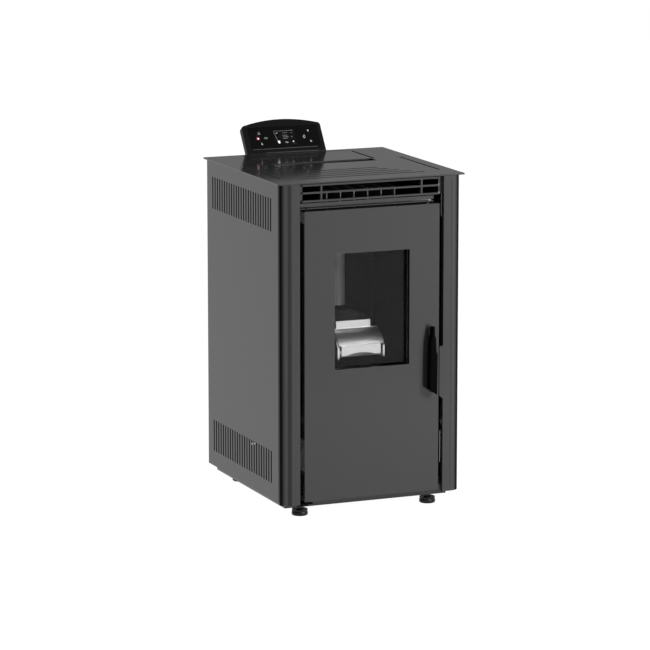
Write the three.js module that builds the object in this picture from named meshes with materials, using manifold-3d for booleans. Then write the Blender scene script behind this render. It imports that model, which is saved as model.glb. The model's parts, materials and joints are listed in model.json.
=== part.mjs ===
// Pellet stove: a free-standing room heater in painted sheet steel.
// Millimetres, +Z up, front towards -Y. The floor is Z = 0.
// Inside the stove group Y = 0 is the face of the fire door; the group is then
// centred on the origin, front to back.
import * as THREE from "three";
import { mergeVertices } from "three/addons/utils/BufferGeometryUtils.js";
import Module from "manifold-3d";

const wasm = await Module();
wasm.setup();

// ---------------------------------------------------------------- sizes ----
// Clearances
const SEAT = 0.3; // between pieces that touch
const RUN = 0.5; // around a shaft that turns

// Casing
const PLATE_W = 440;
const PLATE_D = 450;
const PLATE_T = 3;
const PLATE_TOP = 740;
const SHEET = 1.5; // casing sheet
const CASE_X = 212.5; // half width over the side panels
const CASE_FRONT = 20;
const PLATE_LIP = 5; // how far the top plate stands out past the back of the case
const CASE_BACK = PLATE_D - PLATE_LIP;
const CASE_BOTTOM = 37;
const FLANGE = 18; // folded edge of a side panel
const REAR_FOLD = 7; // folded top edge of the rear panel

// Levelling feet and base tray
const FOOT_R = 18;
const FOOT_T = 10;
const FOOT_NECK_R = 7.3;
const FOOT_STEM_R = 4;
const FOOT_STEM_TOP = 48;
const FOOT_X = 153;
const FOOT_FRONT = 44;
const FOOT_BACK = CASE_BACK - 45;
const TRAY_BOTTOM = 19.5;
const TRAY_T = 2;
const TRAY_X = 193;
const TRAY_FRONT = 33;
const TRAY_WALL_TOP = 58;
const NUT_R = 11;
const NUT_H = 13;

// Cooling slots in the side panels
const SLOTS = 25;
const SLOT_W = 6;
const SLOT_H = 72;
const SLOT_FRONT = 62;
const SLOT_PITCH = 14.48;
const SLOT_LOW = 72.5;
const SLOT_HIGH = 629;

// Front columns
const COLUMN_IN = 169.5; // half width between the columns
const COLUMN_FLAT = 187; // where the flat face ends
const COLUMN_R = 23; // half width of the curved part
const COLUMN_BOTTOM = 32;
const COLUMN_LIP = 14; // fold towards the back at the inner edge
const TAB_IN = 161; // latch tab on the right column
const TAB_LOW = 243;
const TAB_HIGH = 360;
const TAB_CUT = 7;

// Warm air slots in the top plate, one row for each half length
const ROW_HALF = [148, 128, 108, 93, 79];
const ROW_FRONT = 56;
const ROW_PITCH = 25;
const ROW_W = 8;

// Stamped ribs along the sides of the top plate
const RIB_X = 189;
const RIB_W = 9;
const RIB_FRONT = 70;
const RIB_BACK = 285;
const RIB_DEPTH = 1;

// Hopper lid
const LID_X = 130.5;
const LID_FRONT = 290;
const LID_BACK = PLATE_D - 20;
const LID_T = 3;
const LID_GAP = 1.3;
const LID_REAR_GAP = 5.5;
const SCOOP_FRONT = 256; // finger scoop in front of the lid
const SCOOP_DEPTH = 9;
const SCOOP_X = 122;
const LID_AXIS_Y = LID_BACK - 4;
const LID_AXIS_Z = 730;
const LID_PIN_R = 3;
const LID_EAR_X = 100;
const LUG_BACK = 5; // the lid swings round the lugs, so they stay inside its turning circle
const LUG_TOP = 4.3;

// Warm air grille and the rail under it
const GRILLE_X = 162;
const GRILLE_FRONT = 4;
const GRILLE_D = 8;
const GRILLE_BAR = 4;
const GRILLE_Z = [696.5, 714.5, 731]; // undersides of the three bars
const GRILLE_POST_X = 118;
const RAIL_LEFT = -168.8;
const RAIL_RIGHT = 148;
const RAIL_FRONT = 8;
const RAIL_D = 34;
const RAIL_Z = [681, 683, 686, 694]; // flange underside and top, nose underside and top
const RAIL_NOSE_D = 16;

// Fire door
const DOOR_X = 159;
const DOOR_BOTTOM = 37.5;
const DOOR_TOP = 677;
const DOOR_T = 2;
const DOOR_D = 26; // depth over the folded edges
const WINDOW_X = 88.5;
const WINDOW_LOW = 325.5;
const WINDOW_HIGH = 580.5;
const FRAME_X = 150;
const FRAME_LOW = 60;
const FRAME_HIGH = 665;
const FRAME_FRONT = 8;
const FRAME_T = 4;
const GLASS_EDGE = 12; // glass past the window, each side
const GLASS_T = 4;
const GASKET_T = 1.8;
const ROPE_X = 122; // half width of the rope ring
const ROPE_LOW = 194;
const ROPE_HIGH = 650;
const ROPE_W = 9;
const ROPE_RIB = 1.8;
const ROPE_RIB_H = 6;
const HINGE_X = -152;
const HINGE_Y = 12;
const HINGE_PIN_R = 4;

// Handle and latch
const HANDLE_X = 140;
const HANDLE_PIVOT_Z = 300;
const HANDLE_FRONT = -21;
const HANDLE_BACK = -4;
const HANDLE_ROUND = 3;
const SHAFT_R = 5;
const CAM_R = 16;
const CAM_W = 10;
const CAM_FRONT = 16.5;
const CAM_T = 4;
const KEEPER_X = [147, 155];
const KEEPER_Z = [284, 294, 313];
const KEEPER_FRONT = 12.8;
const KEEPER_T = 2.7;

// Firebox
const FIRE_X = 108; // half width inside
const FIRE_LOW = 208;
const FIRE_HIGH = 636;
const FIRE_FRONT = 26;
const FIRE_BACK = 240; // inside face of the rear wall
const FIRE_T = 3;
const FIRE_FLANGE = 25;
const FINS = 6;
const FIN_PITCH = 32.2;
const FIN_T = 3;
const FIN_TOP = 710.5;
const FIN_FRONT = 64;
const STAND_X = 104;
const STAND_T = 2;

// Burn pot, its holder and the ash drawer
const POT_X = 47.5;
const POT_FRONT = 102;
const POT_BACK = 229;
const POT_TOP = 412;
const POT_FLOOR = 352;
const POT_T = 2.5;
const POT_RIM_Z = 394.5; // underside of the rim that rests on the holder
const POT_CORNER = 9;
const HOLDER_X = 56.2;
const HOLDER_T = 4.5;
const HOLDER_FRONT = 61;
const HOLDER_LOW = 334;
const HOLDER_TOP = 394;
const PLENUM_FRONT = 160; // the deeper rear part that takes the air inlet
const PLENUM_LOW = 324;
const APRON_X = 46.5;
const APRON_LOW = 342;
const APRON_HIGH = 364.5;
const APRON_ARCH = 6;
const DRAWER_X = 100;
const DRAWER_FRONT = 96;
const DRAWER_BACK = 236;
const DRAWER_H = 72;
const DRAWER_T = 1.5;
const CHUTE_R = 19;
const CHUTE_T = 2;
const CHUTE_Y = 203;
const CHUTE_LOW = 431;
const IGNITER_R = 5;
const IGNITER_X = 34;
const IGNITER_Z = 380;

// Hopper and auger
const HOPPER_X = 126;
const HOPPER_FRONT = 300;
const HOPPER_BACK = LID_BACK - 18;
const HOPPER_T = 1.5;
const HOPPER_KNEE = 640; // where the walls start to slope
const THROAT_X = 24;
const THROAT_FRONT = 283;
const THROAT_BACK = 329;
const THROAT_TOP = 566;
const AUGER_TOP_Y = 214;
const AUGER_TOP_Z = 590;
const AUGER_TILT = 52; // degrees from level
const AUGER_L = 200;
const AUGER_R = 28;
const AUGER_WALL = 2;
const AUGER_SHAFT_R = 8;
const AUGER_PITCH = 42;
const AUGER_FLIGHT_T = 3;
const GEARBOX_R = 33;
const GEARBOX_L = 24;
const MOTOR_R = 26;
const MOTOR_L = 36;
const GUARD_Z = 690;
const GUARD_BARS = 6;
const GUARD_BAR = 3;

// Exhaust
const BLOWER_X = -78;
const BLOWER_Z = 312;
const BLOWER_R = 58;
const BLOWER_FRONT = 272;
const BLOWER_BACK = 322;
const BLOWER_T = 2;
const INLET_R = 22;
const WHEEL_R = 48;
const WHEEL_BLADES = 8;
const FLUE_R = 40;
const FLUE_T = 1.5;
const FLUE_X = 62;
const FLUE_Z = 300;
const FLUE_END = CASE_BACK + 60;
const FLUE_SIDES = 32;
const INTAKE_R = 18;
const INTAKE_Z = 346;
const INTAKE_END = CASE_BACK + 30;
const INTAKE_SIDES = 24;
const DUCT_X = 20; // where the blower outlet meets the flue box
const DUCT_TOP = 300;
const FLUE_BOX_X = 106;
const FLUE_BOX_TOP = 346;

// Room fan
const FAN_X = [-118, 84];
const FAN_Y = 352;
const FAN_Z = 96;
const FAN_R = 30;
const FAN_BLADES = 16;
const FAN_SHELL_R = 40;
const FAN_MOTOR_L = 56;
const VENTS = 5; // slots in the rear panel behind the fan
const VENT_X = [-108, 12];
const VENT_H = 4;
const VENT_PITCH = 12;

// Control unit, measured on its own sloping face
const CONTROL_X = -19.5;
const CONTROL_Y = PLATE_D - 11;
const CONTROL_TILT = 34; // degrees back from upright
const CONTROL_HALF = 96;
const CONTROL_SIDE = 73.5;
const CONTROL_PEAK = 86.5;
const CONTROL_D = 17;
const CONTROL_ROUND = 8;
const CONTROL_POCKET_D = 13;
const PANEL_HALF = 84;
const PANEL_LOW = 10;
const PANEL_HIGH = 67;
const PANEL_SINK = 1.2;
const PANEL_T = 2;
const DISPLAY_X = [-23, 29];
const DISPLAY_Z = [23, 58];
const KEY_R = 4.5;
const KEY_TRAVEL = 0.8;
const KEY_PLACES = {
  key_up: [-58, 53],
  key_power: [-63, 40],
  key_mode: [-44, 40],
  key_down: [-56, 26],
  key_more: [62, 53],
  key_set: [50, 39],
  key_less: [64, 27],
};

// Rear fittings
const INLET_X = 150;
const INLET_W = 28;
const INLET_D = 22;
const INLET_FLANGE = 4;
const SOCKET_Z = 112;
const SOCKET_W = 24;
const SOCKET_H = 16;
const SWITCH_Z = 140;
const SWITCH_W = 19;
const SWITCH_H = 15;
const ROCKER_TILT = 7; // degrees each way
const PRESSURE_Y = 180; // pressure switch on the right side panel
const PRESSURE_Z = 170;

// ------------------------------------------------------------- helpers ----
const rad = THREE.MathUtils.degToRad;

// A closed geometry as a manifold-3d solid.
function solid(geometry, matrix) {
  const placed = geometry.clone();
  if (matrix) placed.applyMatrix4(matrix);
  placed.deleteAttribute("normal");
  placed.deleteAttribute("uv");
  const merged = mergeVertices(placed, 1e-4);
  return new wasm.Manifold(
    new wasm.Mesh({
      numProp: 3,
      vertProperties: merged.attributes.position.array,
      triVerts: new Uint32Array(merged.index.array),
    }),
  );
}

function joined(...pieces) {
  return pieces.reduce((whole, piece) => whole.add(piece));
}

function cut(whole, ...tools) {
  return tools.reduce((left, tool) => left.subtract(tool), whole);
}

function box([x0, x1], [y0, y1], [z0, z1]) {
  const block = new THREE.BoxGeometry(x1 - x0, y1 - y0, z1 - z0);
  block.translate((x0 + x1) / 2, (y0 + y1) / 2, (z0 + z1) / 2);
  return solid(block);
}

// Turns (outline u, outline v, extrusion) into world axes without mirroring.
const ALONG = {
  x: new THREE.Matrix4().set(0, 0, 1, 0, 1, 0, 0, 0, 0, 1, 0, 0, 0, 0, 0, 1),
  y: new THREE.Matrix4().set(1, 0, 0, 0, 0, 0, -1, 0, 0, 1, 0, 0, 0, 0, 0, 1),
  z: new THREE.Matrix4(),
};

// An outline run from one place to another along an axis. Its u and v are the
// other two axes, in X, Y, Z order.
function prism(shape, axis, from, to, segments = 6) {
  const run = new THREE.ExtrudeGeometry(shape, {
    depth: to - from,
    bevelEnabled: false,
    curveSegments: segments,
  });
  run.translate(0, 0, axis === "y" ? -to : from);
  return solid(run, ALONG[axis]);
}

function outline(points) {
  return new THREE.Shape(points.map(([u, v]) => new THREE.Vector2(u, v)));
}

// A rectangle with round corners, as a path for a shape or a hole.
function roundRect(path, [u0, u1], [v0, v1], r) {
  path.moveTo(u0 + r, v0);
  path.lineTo(u1 - r, v0);
  path.absarc(u1 - r, v0 + r, r, -Math.PI / 2, 0, false);
  path.lineTo(u1, v1 - r);
  path.absarc(u1 - r, v1 - r, r, 0, Math.PI / 2, false);
  path.lineTo(u0 + r, v1);
  path.absarc(u0 + r, v1 - r, r, Math.PI / 2, Math.PI, false);
  path.lineTo(u0, v0 + r);
  path.absarc(u0 + r, v0 + r, r, Math.PI, 1.5 * Math.PI, false);
  return path;
}

function rect([u0, u1], [v0, v1]) {
  return outline([[u0, v0], [u1, v0], [u1, v1], [u0, v1]]);
}

// A cylinder along an axis; at holds the other two coordinates in X, Y, Z order.
function rod(axis, radius, from, to, at = [0, 0], sides = 24) {
  const bar = new THREE.CylinderGeometry(radius, radius, to - from, sides);
  const middle = (from + to) / 2;
  if (axis === "x") bar.rotateZ(-Math.PI / 2).translate(middle, at[0], at[1]);
  if (axis === "y") bar.translate(at[0], middle, at[1]);
  if (axis === "z") bar.rotateX(Math.PI / 2).translate(at[0], at[1], middle);
  return solid(bar);
}

// A profile of [radius, height] points turned about the Z axis.
function turned(profile, sides = 20) {
  const points = profile.map(([r, z]) => new THREE.Vector2(r, z));
  return solid(new THREE.LatheGeometry(points, sides).rotateX(Math.PI / 2));
}

// A closed solid through rings of equally many points, each ring anticlockwise
// seen against the direction of travel.
function lofted(rings) {
  const count = rings[0].length;
  const position = rings.flat(2);
  const index = [];
  for (let r = 0; r + 1 < rings.length; r++) {
    for (let i = 0; i < count; i++) {
      const a = r * count + i;
      const b = r * count + ((i + 1) % count);
      index.push(a, b, b + count, a, b + count, a + count);
    }
  }
  const last = (rings.length - 1) * count;
  for (let i = 1; i + 1 < count; i++) {
    index.push(0, i + 1, i);
    index.push(last, last + i, last + i + 1);
  }
  const body = new THREE.BufferGeometry();
  body.setAttribute("position", new THREE.Float32BufferAttribute(position, 3));
  body.setIndex(index);
  return solid(body);
}

// A rectangle at a height, as one ring of a loft.
function ringAt(z, [x0, x1], [y0, y1]) {
  return [[x0, y0, z], [x1, y0, z], [x1, y1, z], [x0, y1, z]];
}

// A rectangular frame in the XZ plane, of a given width, from y0 to y1.
function frameRing([x0, x1], [z0, z1], width, [y0, y1], r = 2) {
  const sheet = roundRect(new THREE.Shape(), [x0, x1], [z0, z1], r);
  const inside = Math.max(r - width, 0.5);
  sheet.holes.push(
    roundRect(new THREE.Path(), [x0 + width, x1 - width], [z0 + width, z1 - width], inside),
  );
  return prism(sheet, "y", y0, y1, 2);
}

// ----------------------------------------------------------- materials ----
const finish = (color, roughness, metalness) =>
  new THREE.MeshStandardMaterial({ color, roughness, metalness });
const PAINT = finish(0x3a3a3b, 0.45, 0.4);
const BLACK_PAINT = finish(0x161616, 0.6, 0.3);
const FIREBOX_PAINT = finish(0x222222, 0.8, 0.2);
const STAINLESS = finish(0xc9c9c6, 0.3, 1);
const GALVANISED = finish(0xa8abad, 0.45, 0.9);
const BLACK_PLASTIC = finish(0x0c0c0d, 0.35, 0);
const RUBBER = finish(0x151515, 0.8, 0);
const ROPE = finish(0x24221f, 0.95, 0);
const GLASS = finish(0x2a2a2a, 0.1, 0);
const LENS = finish(0x14161a, 0.15, 0);
const BOARD = finish(0x1c4a2c, 0.6, 0);
const CERAMIC = finish(0xcfc8b8, 0.9, 0);
const CAST = finish(0x55585a, 0.6, 0.7);

const stove = new THREE.Group();

function add(name, manifold, material, parent = stove) {
  const { vertProperties, triVerts } = manifold.getMesh();
  const geometry = new THREE.BufferGeometry();
  geometry.setAttribute("position", new THREE.BufferAttribute(vertProperties, 3));
  geometry.setIndex(new THREE.BufferAttribute(triVerts, 1));
  geometry.computeVertexNormals();
  const mesh = new THREE.Mesh(geometry, material);
  mesh.name = name;
  parent.add(mesh);
  return mesh;
}

// ------------------------------------------------------- base and feet ----
const trayFloor = TRAY_BOTTOM + TRAY_T;
const trayBack = CASE_BACK - SHEET - SEAT;
const feet = {
  front_left: [-FOOT_X, FOOT_FRONT],
  front_right: [FOOT_X, FOOT_FRONT],
  rear_left: [-FOOT_X, FOOT_BACK],
  rear_right: [FOOT_X, FOOT_BACK],
};

function baseTray() {
  const wall = SHEET;
  const outer = box([-TRAY_X, TRAY_X], [TRAY_FRONT, trayBack], [TRAY_BOTTOM, TRAY_WALL_TOP]);
  const inner = box(
    [-TRAY_X + wall, TRAY_X - wall],
    [TRAY_FRONT + wall, trayBack - wall],
    [trayFloor, TRAY_WALL_TOP + 1],
  );
  let tray = outer.subtract(inner);
  for (const place of Object.values(feet)) {
    tray = tray.add(rod("z", NUT_R, TRAY_BOTTOM, trayFloor + NUT_H, place, 6));
    tray = tray.subtract(
      rod("z", FOOT_STEM_R + SEAT, TRAY_BOTTOM - 1, trayFloor + NUT_H + 1, place, 20),
    );
  }
  return tray;
}

function levellingFoot() {
  return turned([
    [0, 0],
    [FOOT_R - 1.5, 0],
    [FOOT_R, 1.5],
    [FOOT_R, FOOT_T - 3],
    [FOOT_R - 2, FOOT_T - 0.5],
    [FOOT_NECK_R, FOOT_T],
    [FOOT_NECK_R, TRAY_BOTTOM - SEAT],
    [FOOT_STEM_R, TRAY_BOTTOM - SEAT],
    [FOOT_STEM_R, FOOT_STEM_TOP],
    [0, FOOT_STEM_TOP],
  ]);
}

add("base_tray", baseTray(), PAINT);
for (const [corner, [x, y]] of Object.entries(feet)) {
  add("foot_" + corner, levellingFoot(), RUBBER).position.set(x, y, 0);
}

// -------------------------------------------------------------- casing ----
const caseTop = PLATE_TOP - PLATE_T - SEAT;

// One side panel, for side = 1 on the right and -1 on the left.
function sidePanel(side) {
  const at = (low, high) => (side > 0 ? [low, high] : [-high, -low]);
  const face = at(CASE_X - SHEET, CASE_X);
  const fold = at(CASE_X - FLANGE, CASE_X);
  const panel = joined(
    box(face, [CASE_FRONT, CASE_BACK], [CASE_BOTTOM, caseTop]),
    box(fold, [CASE_FRONT, CASE_FRONT + SHEET], [CASE_BOTTOM, caseTop]),
    box(fold, [CASE_FRONT, CASE_BACK - SHEET - SEAT], [caseTop - SHEET, caseTop]),
    box(at(TRAY_X + SEAT, CASE_X), [CASE_FRONT, CASE_BACK], [CASE_BOTTOM, CASE_BOTTOM + SHEET]),
  );
  const slots = [];
  for (let i = 0; i < SLOTS; i++) {
    const y = SLOT_FRONT + i * SLOT_PITCH;
    for (const z of [SLOT_LOW, SLOT_HIGH]) {
      const span = [y - SLOT_W / 2, y + SLOT_W / 2];
      slots.push(box([face[0] - 1, face[1] + 1], span, [z, z + SLOT_H]));
    }
  }
  return cut(panel, ...slots);
}

// A front column: flat face, shallow crease, quarter round to the side.
function frontColumn(side) {
  const crease = 2;
  const creaseDepth = 0.8;
  const lipBack = CASE_FRONT - SEAT;
  const skin = (inset) => {
    const centre = COLUMN_FLAT + crease;
    const points = [
      [COLUMN_IN + inset, COLUMN_LIP],
      [COLUMN_IN + inset, inset],
      [COLUMN_FLAT, inset],
      [COLUMN_FLAT + crease / 2, inset + creaseDepth],
      [centre, inset],
    ];
    const depth = lipBack - SHEET;
    const steps = 8;
    for (let i = 1; i <= steps; i++) {
      const angle = (i / steps) * (Math.PI / 2);
      points.push([
        centre + (COLUMN_R - inset) * Math.sin(angle),
        depth - (depth - inset) * Math.cos(angle),
      ]);
    }
    return points;
  };
  const outside = skin(0);
  const inside = skin(SHEET);
  const edge = outside.at(-1)[0];
  const foldIn = edge - 16;
  const profile = [
    ...outside,
    [edge, lipBack],
    [foldIn, lipBack],
    [foldIn, lipBack - SHEET],
    ...inside.reverse(),
  ];
  const placed = profile.map(([x, y]) => [side * x, y]);
  const column = prism(outline(placed), "z", COLUMN_BOTTOM, caseTop);
  if (side < 0) return column;
  const tab = outline([
    [TAB_IN, TAB_LOW + TAB_CUT],
    [TAB_IN + TAB_CUT, TAB_LOW],
    [COLUMN_IN + SHEET, TAB_LOW],
    [COLUMN_IN + SHEET, TAB_HIGH],
    [TAB_IN, TAB_HIGH],
  ]);
  return column.add(prism(tab, "y", 0, SHEET));
}

function rearPanel() {
  const halfWidth = CASE_X - SHEET - SEAT;
  const sheet = rect([-halfWidth, halfWidth], [CASE_BOTTOM + SHEET + SEAT, caseTop]);
  sheet.holes.push(
    rect(
      [INLET_X - INLET_W / 2 - SEAT, INLET_X + INLET_W / 2 + SEAT],
      [SOCKET_Z - SOCKET_H / 2 - SEAT, SWITCH_Z + SWITCH_H / 2 + SEAT],
    ),
  );
  for (let i = 0; i < VENTS; i++) {
    const z = FAN_Z + (i - (VENTS - 1) / 2) * VENT_PITCH;
    sheet.holes.push(rect(VENT_X, [z - VENT_H / 2, z + VENT_H / 2]));
  }
  const through = [CASE_BACK - SHEET - 1, CASE_BACK + 1];
  return cut(
    joined(
      prism(sheet, "y", CASE_BACK - SHEET, CASE_BACK),
      box(
        [-halfWidth + FLANGE, halfWidth - FLANGE],
        [CASE_BACK - REAR_FOLD, CASE_BACK],
        [caseTop - SHEET, caseTop],
      ),
    ),
    rod("y", FLUE_R + SEAT, ...through, [FLUE_X, FLUE_Z], FLUE_SIDES),
    rod("y", INTAKE_R + SEAT, ...through, [0, INTAKE_Z], INTAKE_SIDES),
  );
}

// The top plate, with the warm air slots, the lid opening and its finger scoop.
function topPlate() {
  const half = PLATE_W / 2;
  const sheet = roundRect(new THREE.Shape(), [-half, half], [0, PLATE_D], 3);
  const slotR = ROW_W / 2;
  const underside = PLATE_TOP - PLATE_T;
  const through = [underside - 1, PLATE_TOP + 1];
  const rows = ROW_HALF.map((reach, i) => {
    const y = ROW_FRONT + i * ROW_PITCH;
    const slot = roundRect(new THREE.Shape(), [-reach, reach], [y - slotR, y + slotR], slotR * 0.98);
    return prism(slot, "z", ...through, 4);
  });
  const openX = LID_X + LID_GAP;
  let plate = cut(
    prism(sheet, "z", underside, PLATE_TOP, 4),
    ...rows,
    box([-openX, openX], [LID_FRONT - LID_GAP, LID_BACK + LID_REAR_GAP], through),
  );
  const rampEnd = LID_FRONT + 2;
  const rampTop = PLATE_TOP - SCOOP_DEPTH;
  const ramp = outline([
    [SCOOP_FRONT, PLATE_TOP],
    [SCOOP_FRONT, underside],
    [rampEnd, rampTop - PLATE_T],
    [rampEnd, rampTop],
  ]);
  const cheek = outline([
    [SCOOP_FRONT, PLATE_TOP],
    [SCOOP_FRONT, underside],
    [LID_FRONT - LID_GAP, rampTop - PLATE_T],
    [LID_FRONT - LID_GAP, PLATE_TOP],
  ]);
  plate = cut(
    plate,
    box([-SCOOP_X, SCOOP_X], [SCOOP_FRONT, LID_FRONT], through),
  );
  plate = joined(
    plate,
    prism(ramp, "x", -SCOOP_X - 1, SCOOP_X + 1),
    prism(cheek, "x", -SCOOP_X - PLATE_T, -SCOOP_X),
    prism(cheek, "x", SCOOP_X, SCOOP_X + PLATE_T),
  );
  for (const side of [-1, 1]) {
    const rib = roundRect(
      new THREE.Shape(),
      [side * RIB_X - RIB_W / 2, side * RIB_X + RIB_W / 2],
      [RIB_FRONT, RIB_BACK],
      RIB_W * 0.49,
    );
    plate = plate.subtract(prism(rib, "z", PLATE_TOP - RIB_DEPTH, PLATE_TOP + 1, 3));
  }
  return plate;
}

// The rail over the door: a flange that holds the upper hinge pin, and a nose.
function topRail() {
  const [flangeLow, flangeTop, noseLow, noseTop] = RAIL_Z;
  const back = RAIL_FRONT + RAIL_D;
  const span = [RAIL_LEFT, RAIL_RIGHT];
  return cut(
    joined(
      box(span, [RAIL_FRONT, back], [flangeLow, flangeTop]),
      box(span, [RAIL_FRONT, RAIL_FRONT + RAIL_NOSE_D], [noseLow, noseTop]),
      box(span, [RAIL_FRONT + RAIL_NOSE_D - SHEET, RAIL_FRONT + RAIL_NOSE_D], [flangeLow, noseTop]),
      box([RAIL_RIGHT - SHEET, COLUMN_IN - SEAT], [back - SHEET, back], [flangeLow, noseTop]),
      box(span, [back - SHEET, back], [flangeLow, noseTop]),
    ),
    rod("z", HINGE_PIN_R + SEAT, flangeLow - 1, flangeTop + 1, [HINGE_X, HINGE_Y], 20),
  );
}

function airGrille() {
  const depth = [GRILLE_FRONT, GRILLE_FRONT + GRILLE_D];
  const low = GRILLE_Z[0];
  const high = GRILLE_Z.at(-1) + GRILLE_BAR;
  const bars = GRILLE_Z.map((z) => box([-GRILLE_X, GRILLE_X], depth, [z, z + GRILLE_BAR]));
  const posts = [-1, 1].map((side) => {
    const x = side * GRILLE_POST_X;
    return box([x - GRILLE_BAR / 2, x + GRILLE_BAR / 2], depth, [low, high]);
  });
  const ears = [-1, 1].map((side) => {
    const inner = side * (GRILLE_X - 2);
    const outer = side * (COLUMN_IN - SEAT);
    return box(
      [Math.min(inner, outer), Math.max(inner, outer)],
      [GRILLE_FRONT + GRILLE_D - 2, GRILLE_FRONT + GRILLE_D],
      [low, high],
    );
  });
  return joined(...bars, ...posts, ...ears);
}

add("side_panel_left", sidePanel(-1), PAINT);
add("side_panel_right", sidePanel(1), PAINT);
add("front_column_left", frontColumn(-1), PAINT);
add("front_column_right", frontColumn(1), PAINT);
add("rear_panel", rearPanel(), PAINT);
add("top_plate", topPlate(), PAINT);
add("top_rail", topRail(), PAINT);
add("air_grille", airGrille(), PAINT);

// ---------------------------------------------------- hopper and feed ----
const rimTop = PLATE_TOP - PLATE_T - SEAT;
const rimLow = rimTop - TRAY_T;
const lugX = [LID_EAR_X + 5, LID_EAR_X + 9];

// The lid: a flat plate with two ears under its back edge that carry its pins.
function hopperLid() {
  let lid = box([-LID_X, LID_X], [LID_FRONT, LID_BACK], [PLATE_TOP - LID_T, PLATE_TOP]);
  const earFront = HOPPER_BACK + HOPPER_T + 5;
  const pinAt = [LID_AXIS_Y, LID_AXIS_Z];
  for (const side of [-1, 1]) {
    const span = (a, b) => (side > 0 ? [a, b] : [-b, -a]);
    const [from, to] = span(LID_EAR_X - 3, lugX[1] + 1);
    lid = joined(
      lid,
      box(
        span(LID_EAR_X, LID_EAR_X + 3),
        [earFront, LID_BACK],
        [LID_AXIS_Z - 5, PLATE_TOP - LID_T + 1],
      ),
      rod("x", LID_PIN_R, from, to, pinAt, 16),
    );
  }
  return lid;
}

function hopperShell() {
  const x = HOPPER_X + HOPPER_T;
  const front = HOPPER_FRONT - HOPPER_T;
  const back = HOPPER_BACK + HOPPER_T;
  const throatLow = THROAT_TOP + SEAT;
  const outer = lofted([
    ringAt(throatLow, [-THROAT_X, THROAT_X], [THROAT_FRONT, THROAT_BACK]),
    ringAt(HOPPER_KNEE, [-x, x], [front, back]),
    ringAt(rimTop, [-x, x], [front, back]),
  ]);
  const inX = THROAT_X - HOPPER_T;
  const inner = lofted([
    ringAt(throatLow - 1, [-inX, inX], [THROAT_FRONT + HOPPER_T, THROAT_BACK - HOPPER_T]),
    ringAt(throatLow, [-inX, inX], [THROAT_FRONT + HOPPER_T, THROAT_BACK - HOPPER_T]),
    ringAt(HOPPER_KNEE, [-HOPPER_X, HOPPER_X], [HOPPER_FRONT, HOPPER_BACK]),
    ringAt(rimTop + 1, [-HOPPER_X, HOPPER_X], [HOPPER_FRONT, HOPPER_BACK]),
  ]);
  const rim = box(
    [-LID_X - 10, LID_X + 10],
    [LID_FRONT + 4, HOPPER_BACK + HOPPER_T + 4],
    [rimLow, rimTop],
  );
  const lugs = [-1, 1].map((side) => {
    const span = side > 0 ? lugX : [-lugX[1], -lugX[0]];
    return box(span, [HOPPER_BACK, LID_AXIS_Y + LUG_BACK], [LID_AXIS_Z - 6, LID_AXIS_Z + LUG_TOP]);
  });
  const bore = rod("x", LID_PIN_R + RUN, -LID_X, LID_X, [LID_AXIS_Y, LID_AXIS_Z], 20);
  return cut(joined(outer, rim, ...lugs), inner, bore);
}

// The bars that keep hands out of the auger.
function hopperGuard() {
  const x = HOPPER_X - SEAT;
  const y = [HOPPER_FRONT + SEAT, HOPPER_BACK - SEAT];
  const z = [GUARD_Z, GUARD_Z + GUARD_BAR];
  const frame = cut(
    box([-x, x], y, z),
    box([-x + 4, x - 4], [y[0] + 4, y[1] - 4], [z[0] - 1, z[1] + 1]),
  );
  const pitch = (2 * x) / (GUARD_BARS + 1);
  const bars = [];
  for (let i = 1; i <= GUARD_BARS; i++) {
    const middle = -x + i * pitch;
    bars.push(box([middle - GUARD_BAR / 2, middle + GUARD_BAR / 2], [y[0] + 1, y[1] - 1], z));
  }
  return joined(frame, ...bars);
}

// The auger lies along its own Z axis, which runs down and to the back.
const augerPlace = new THREE.Matrix4()
  .makeRotationX(-rad(90 + AUGER_TILT))
  .setPosition(0, AUGER_TOP_Y, AUGER_TOP_Z);
const augerHead = -30; // closed upper end, past the drop point
const augerCap = 3;

function augerRod(radius, from, to, sides = 24) {
  const bar = new THREE.CylinderGeometry(radius, radius, to - from, sides);
  bar.rotateX(Math.PI / 2).translate(0, 0, (from + to) / 2);
  return solid(bar, augerPlace);
}

function augerTube() {
  const collarLow = 490;
  const wall = HOPPER_T;
  const collar = box([-THROAT_X, THROAT_X], [THROAT_FRONT, THROAT_BACK], [collarLow, THROAT_TOP]);
  const mouth = box(
    [-THROAT_X + wall, THROAT_X - wall],
    [THROAT_FRONT + wall, THROAT_BACK - wall],
    [collarLow - 10, THROAT_TOP + 1],
  );
  return cut(
    joined(augerRod(AUGER_R, augerHead, AUGER_L), collar),
    augerRod(AUGER_R - AUGER_WALL, augerHead + AUGER_WALL, AUGER_L - augerCap),
    augerRod(AUGER_SHAFT_R + RUN, AUGER_L - augerCap - 1, AUGER_L + 1, 20),
    mouth,
    rod("z", CHUTE_R - CHUTE_T, AUGER_TOP_Z - 60, AUGER_TOP_Z + 12, [0, CHUTE_Y], 20),
  );
}

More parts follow.
